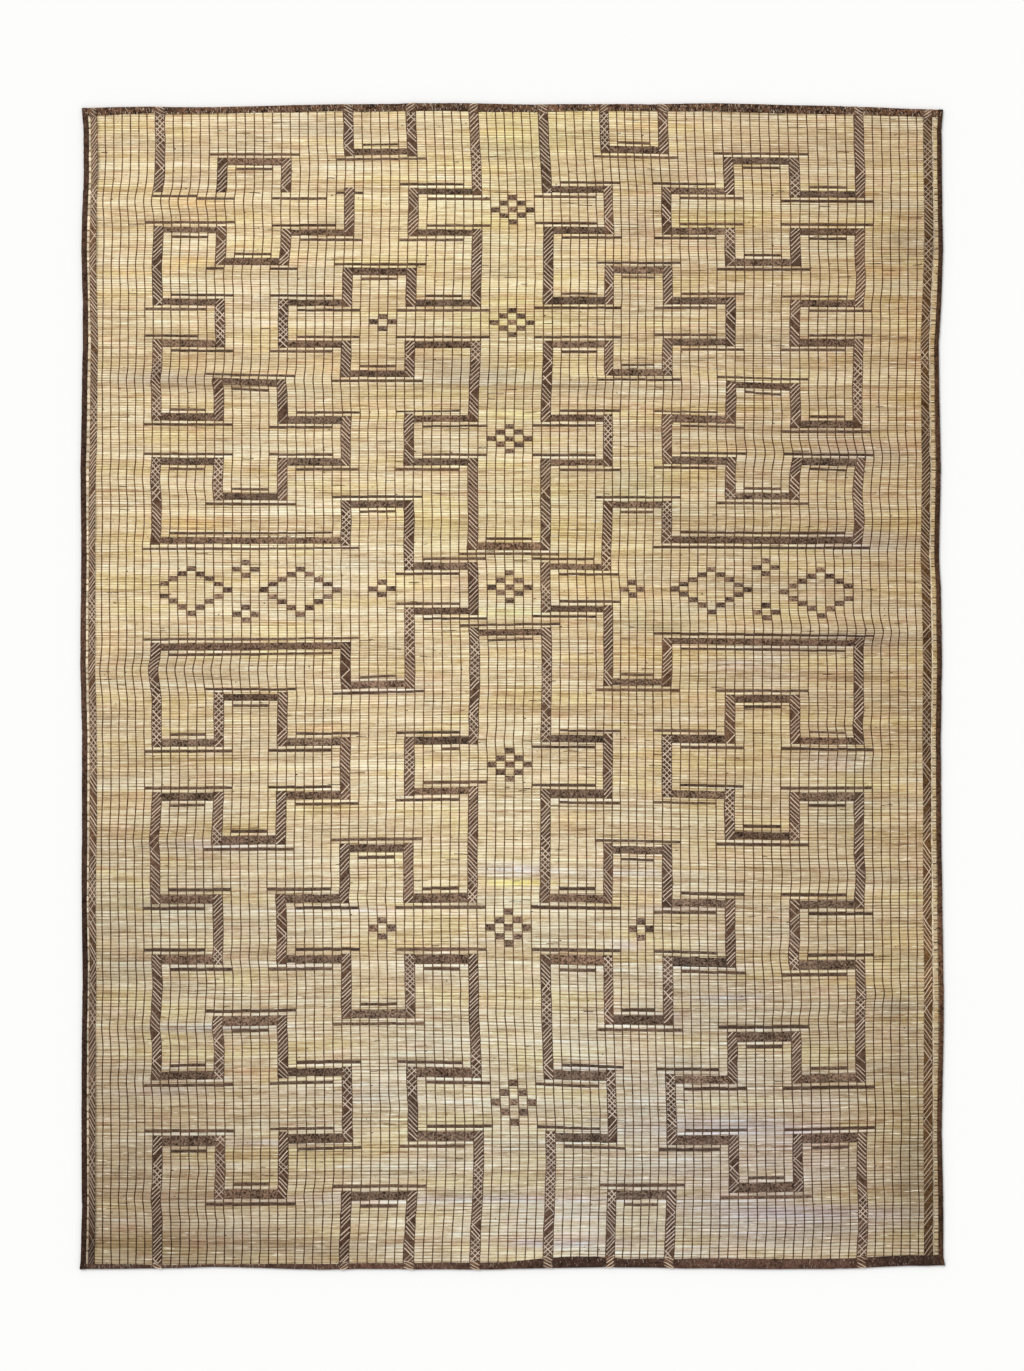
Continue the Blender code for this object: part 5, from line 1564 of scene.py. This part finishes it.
def dashPatch(draw):
    # Dark stitches that cross the pale line and the strip on the right
    cane = np.cumsum(draw.uniform(*cracks["dashStep"], weave["canes"]))
    cane = cane[cane < weave["canes"] - cracks["dashMargin"]][:, None]
    first, last = cracks["dashColumns"]
    points = cracks["dashPoints"]
    start = first + draw.choice(cracks["dashStarts"], len(cane))[:, None]
    slant = draw.uniform(-cracks["dashSlant"], cracks["dashSlant"], (len(cane), points))
    x, y = weaveAt(start + (last - start) * np.linspace(0, 1, points), cane + slant)
    return strandPatch(x, y, cracks["low"], cracks["dashTop"], cracks["dashHalf"], draw, cracks["shades"])


draw = np.random.default_rng(cracks["seed"])
splits = crackPatch(*cracks["splits"], draw)
dots = crackPatch(*cracks["dots"], draw)
makePiece("cane_cracks", [splits, dots], leather["dark split"])
makePiece("right_stitches", [dashPatch(draw)], leather["dark split"])


# Studio: pale floor, soft light from all round and a soft key from the upper left
studio = {
    "floorSize": 30.0, "floorColour": (0.90, 0.90, 0.893), "floorDrop": 0.0004,
    "floorRoughness": 0.9, "floorSpecular": 0.1,
    "skyColour": (1.0, 1.0, 1.0), "skyStrength": 0.70,
    "keyFrom": (-2.6, 2.8, 4.6), "keyStrength": 1.60, "keySoftness": 0.5,
    "cameraHeight": 7.511, "lens": 85.0, "sensor": 36.0, "middle": (-0.0006, 0.0024),
}


def place(name, data, location):
    thing = bpy.data.objects.new(name, data)
    thing.location = location
    bpy.context.scene.collection.objects.link(thing)
    return thing


def makeStudio():
    size = studio["floorSize"] / 2
    mesh = bpy.data.meshes.new("floor")
    corners = [(-size, -size, 0), (size, -size, 0), (size, size, 0), (-size, size, 0)]
    mesh.from_pydata(corners, [], [(0, 1, 2, 3)])
    floor = place("floor", mesh, (0, 0, -studio["floorDrop"]))
    material, _, shader = newMaterial("pale floor", studio["floorRoughness"], studio["floorSpecular"])
    shader.inputs["Base Color"].default_value = (*studio["floorColour"], 1.0)
    mesh.materials.append(material)
    world = bpy.data.worlds.new("studio")
    bpy.context.scene.world = world
    world.use_nodes = True
    sky = world.node_tree.nodes["Background"]
    sky.inputs["Color"].default_value = (*studio["skyColour"], 1.0)
    sky.inputs["Strength"].default_value = studio["skyStrength"]
    lamp = bpy.data.lights.new("key", "SUN")
    lamp.energy = studio["keyStrength"]
    lamp.angle = studio["keySoftness"]
    key = place("key", lamp, studio["keyFrom"])
    key.rotation_euler = (-Vector(studio["keyFrom"])).to_track_quat("-Z", "Y").to_euler()


def makeCamera():
    data = bpy.data.cameras.new("camera")
    data.sensor_fit = "VERTICAL"
    data.sensor_height = studio["sensor"]
    data.lens = studio["lens"]
    bpy.context.scene.camera = place("camera", data, (*studio["middle"], studio["cameraHeight"]))


makeStudio()
makeCamera()
bpy.context.scene.view_settings.view_transform = "Standard"
print("studio and camera placed")
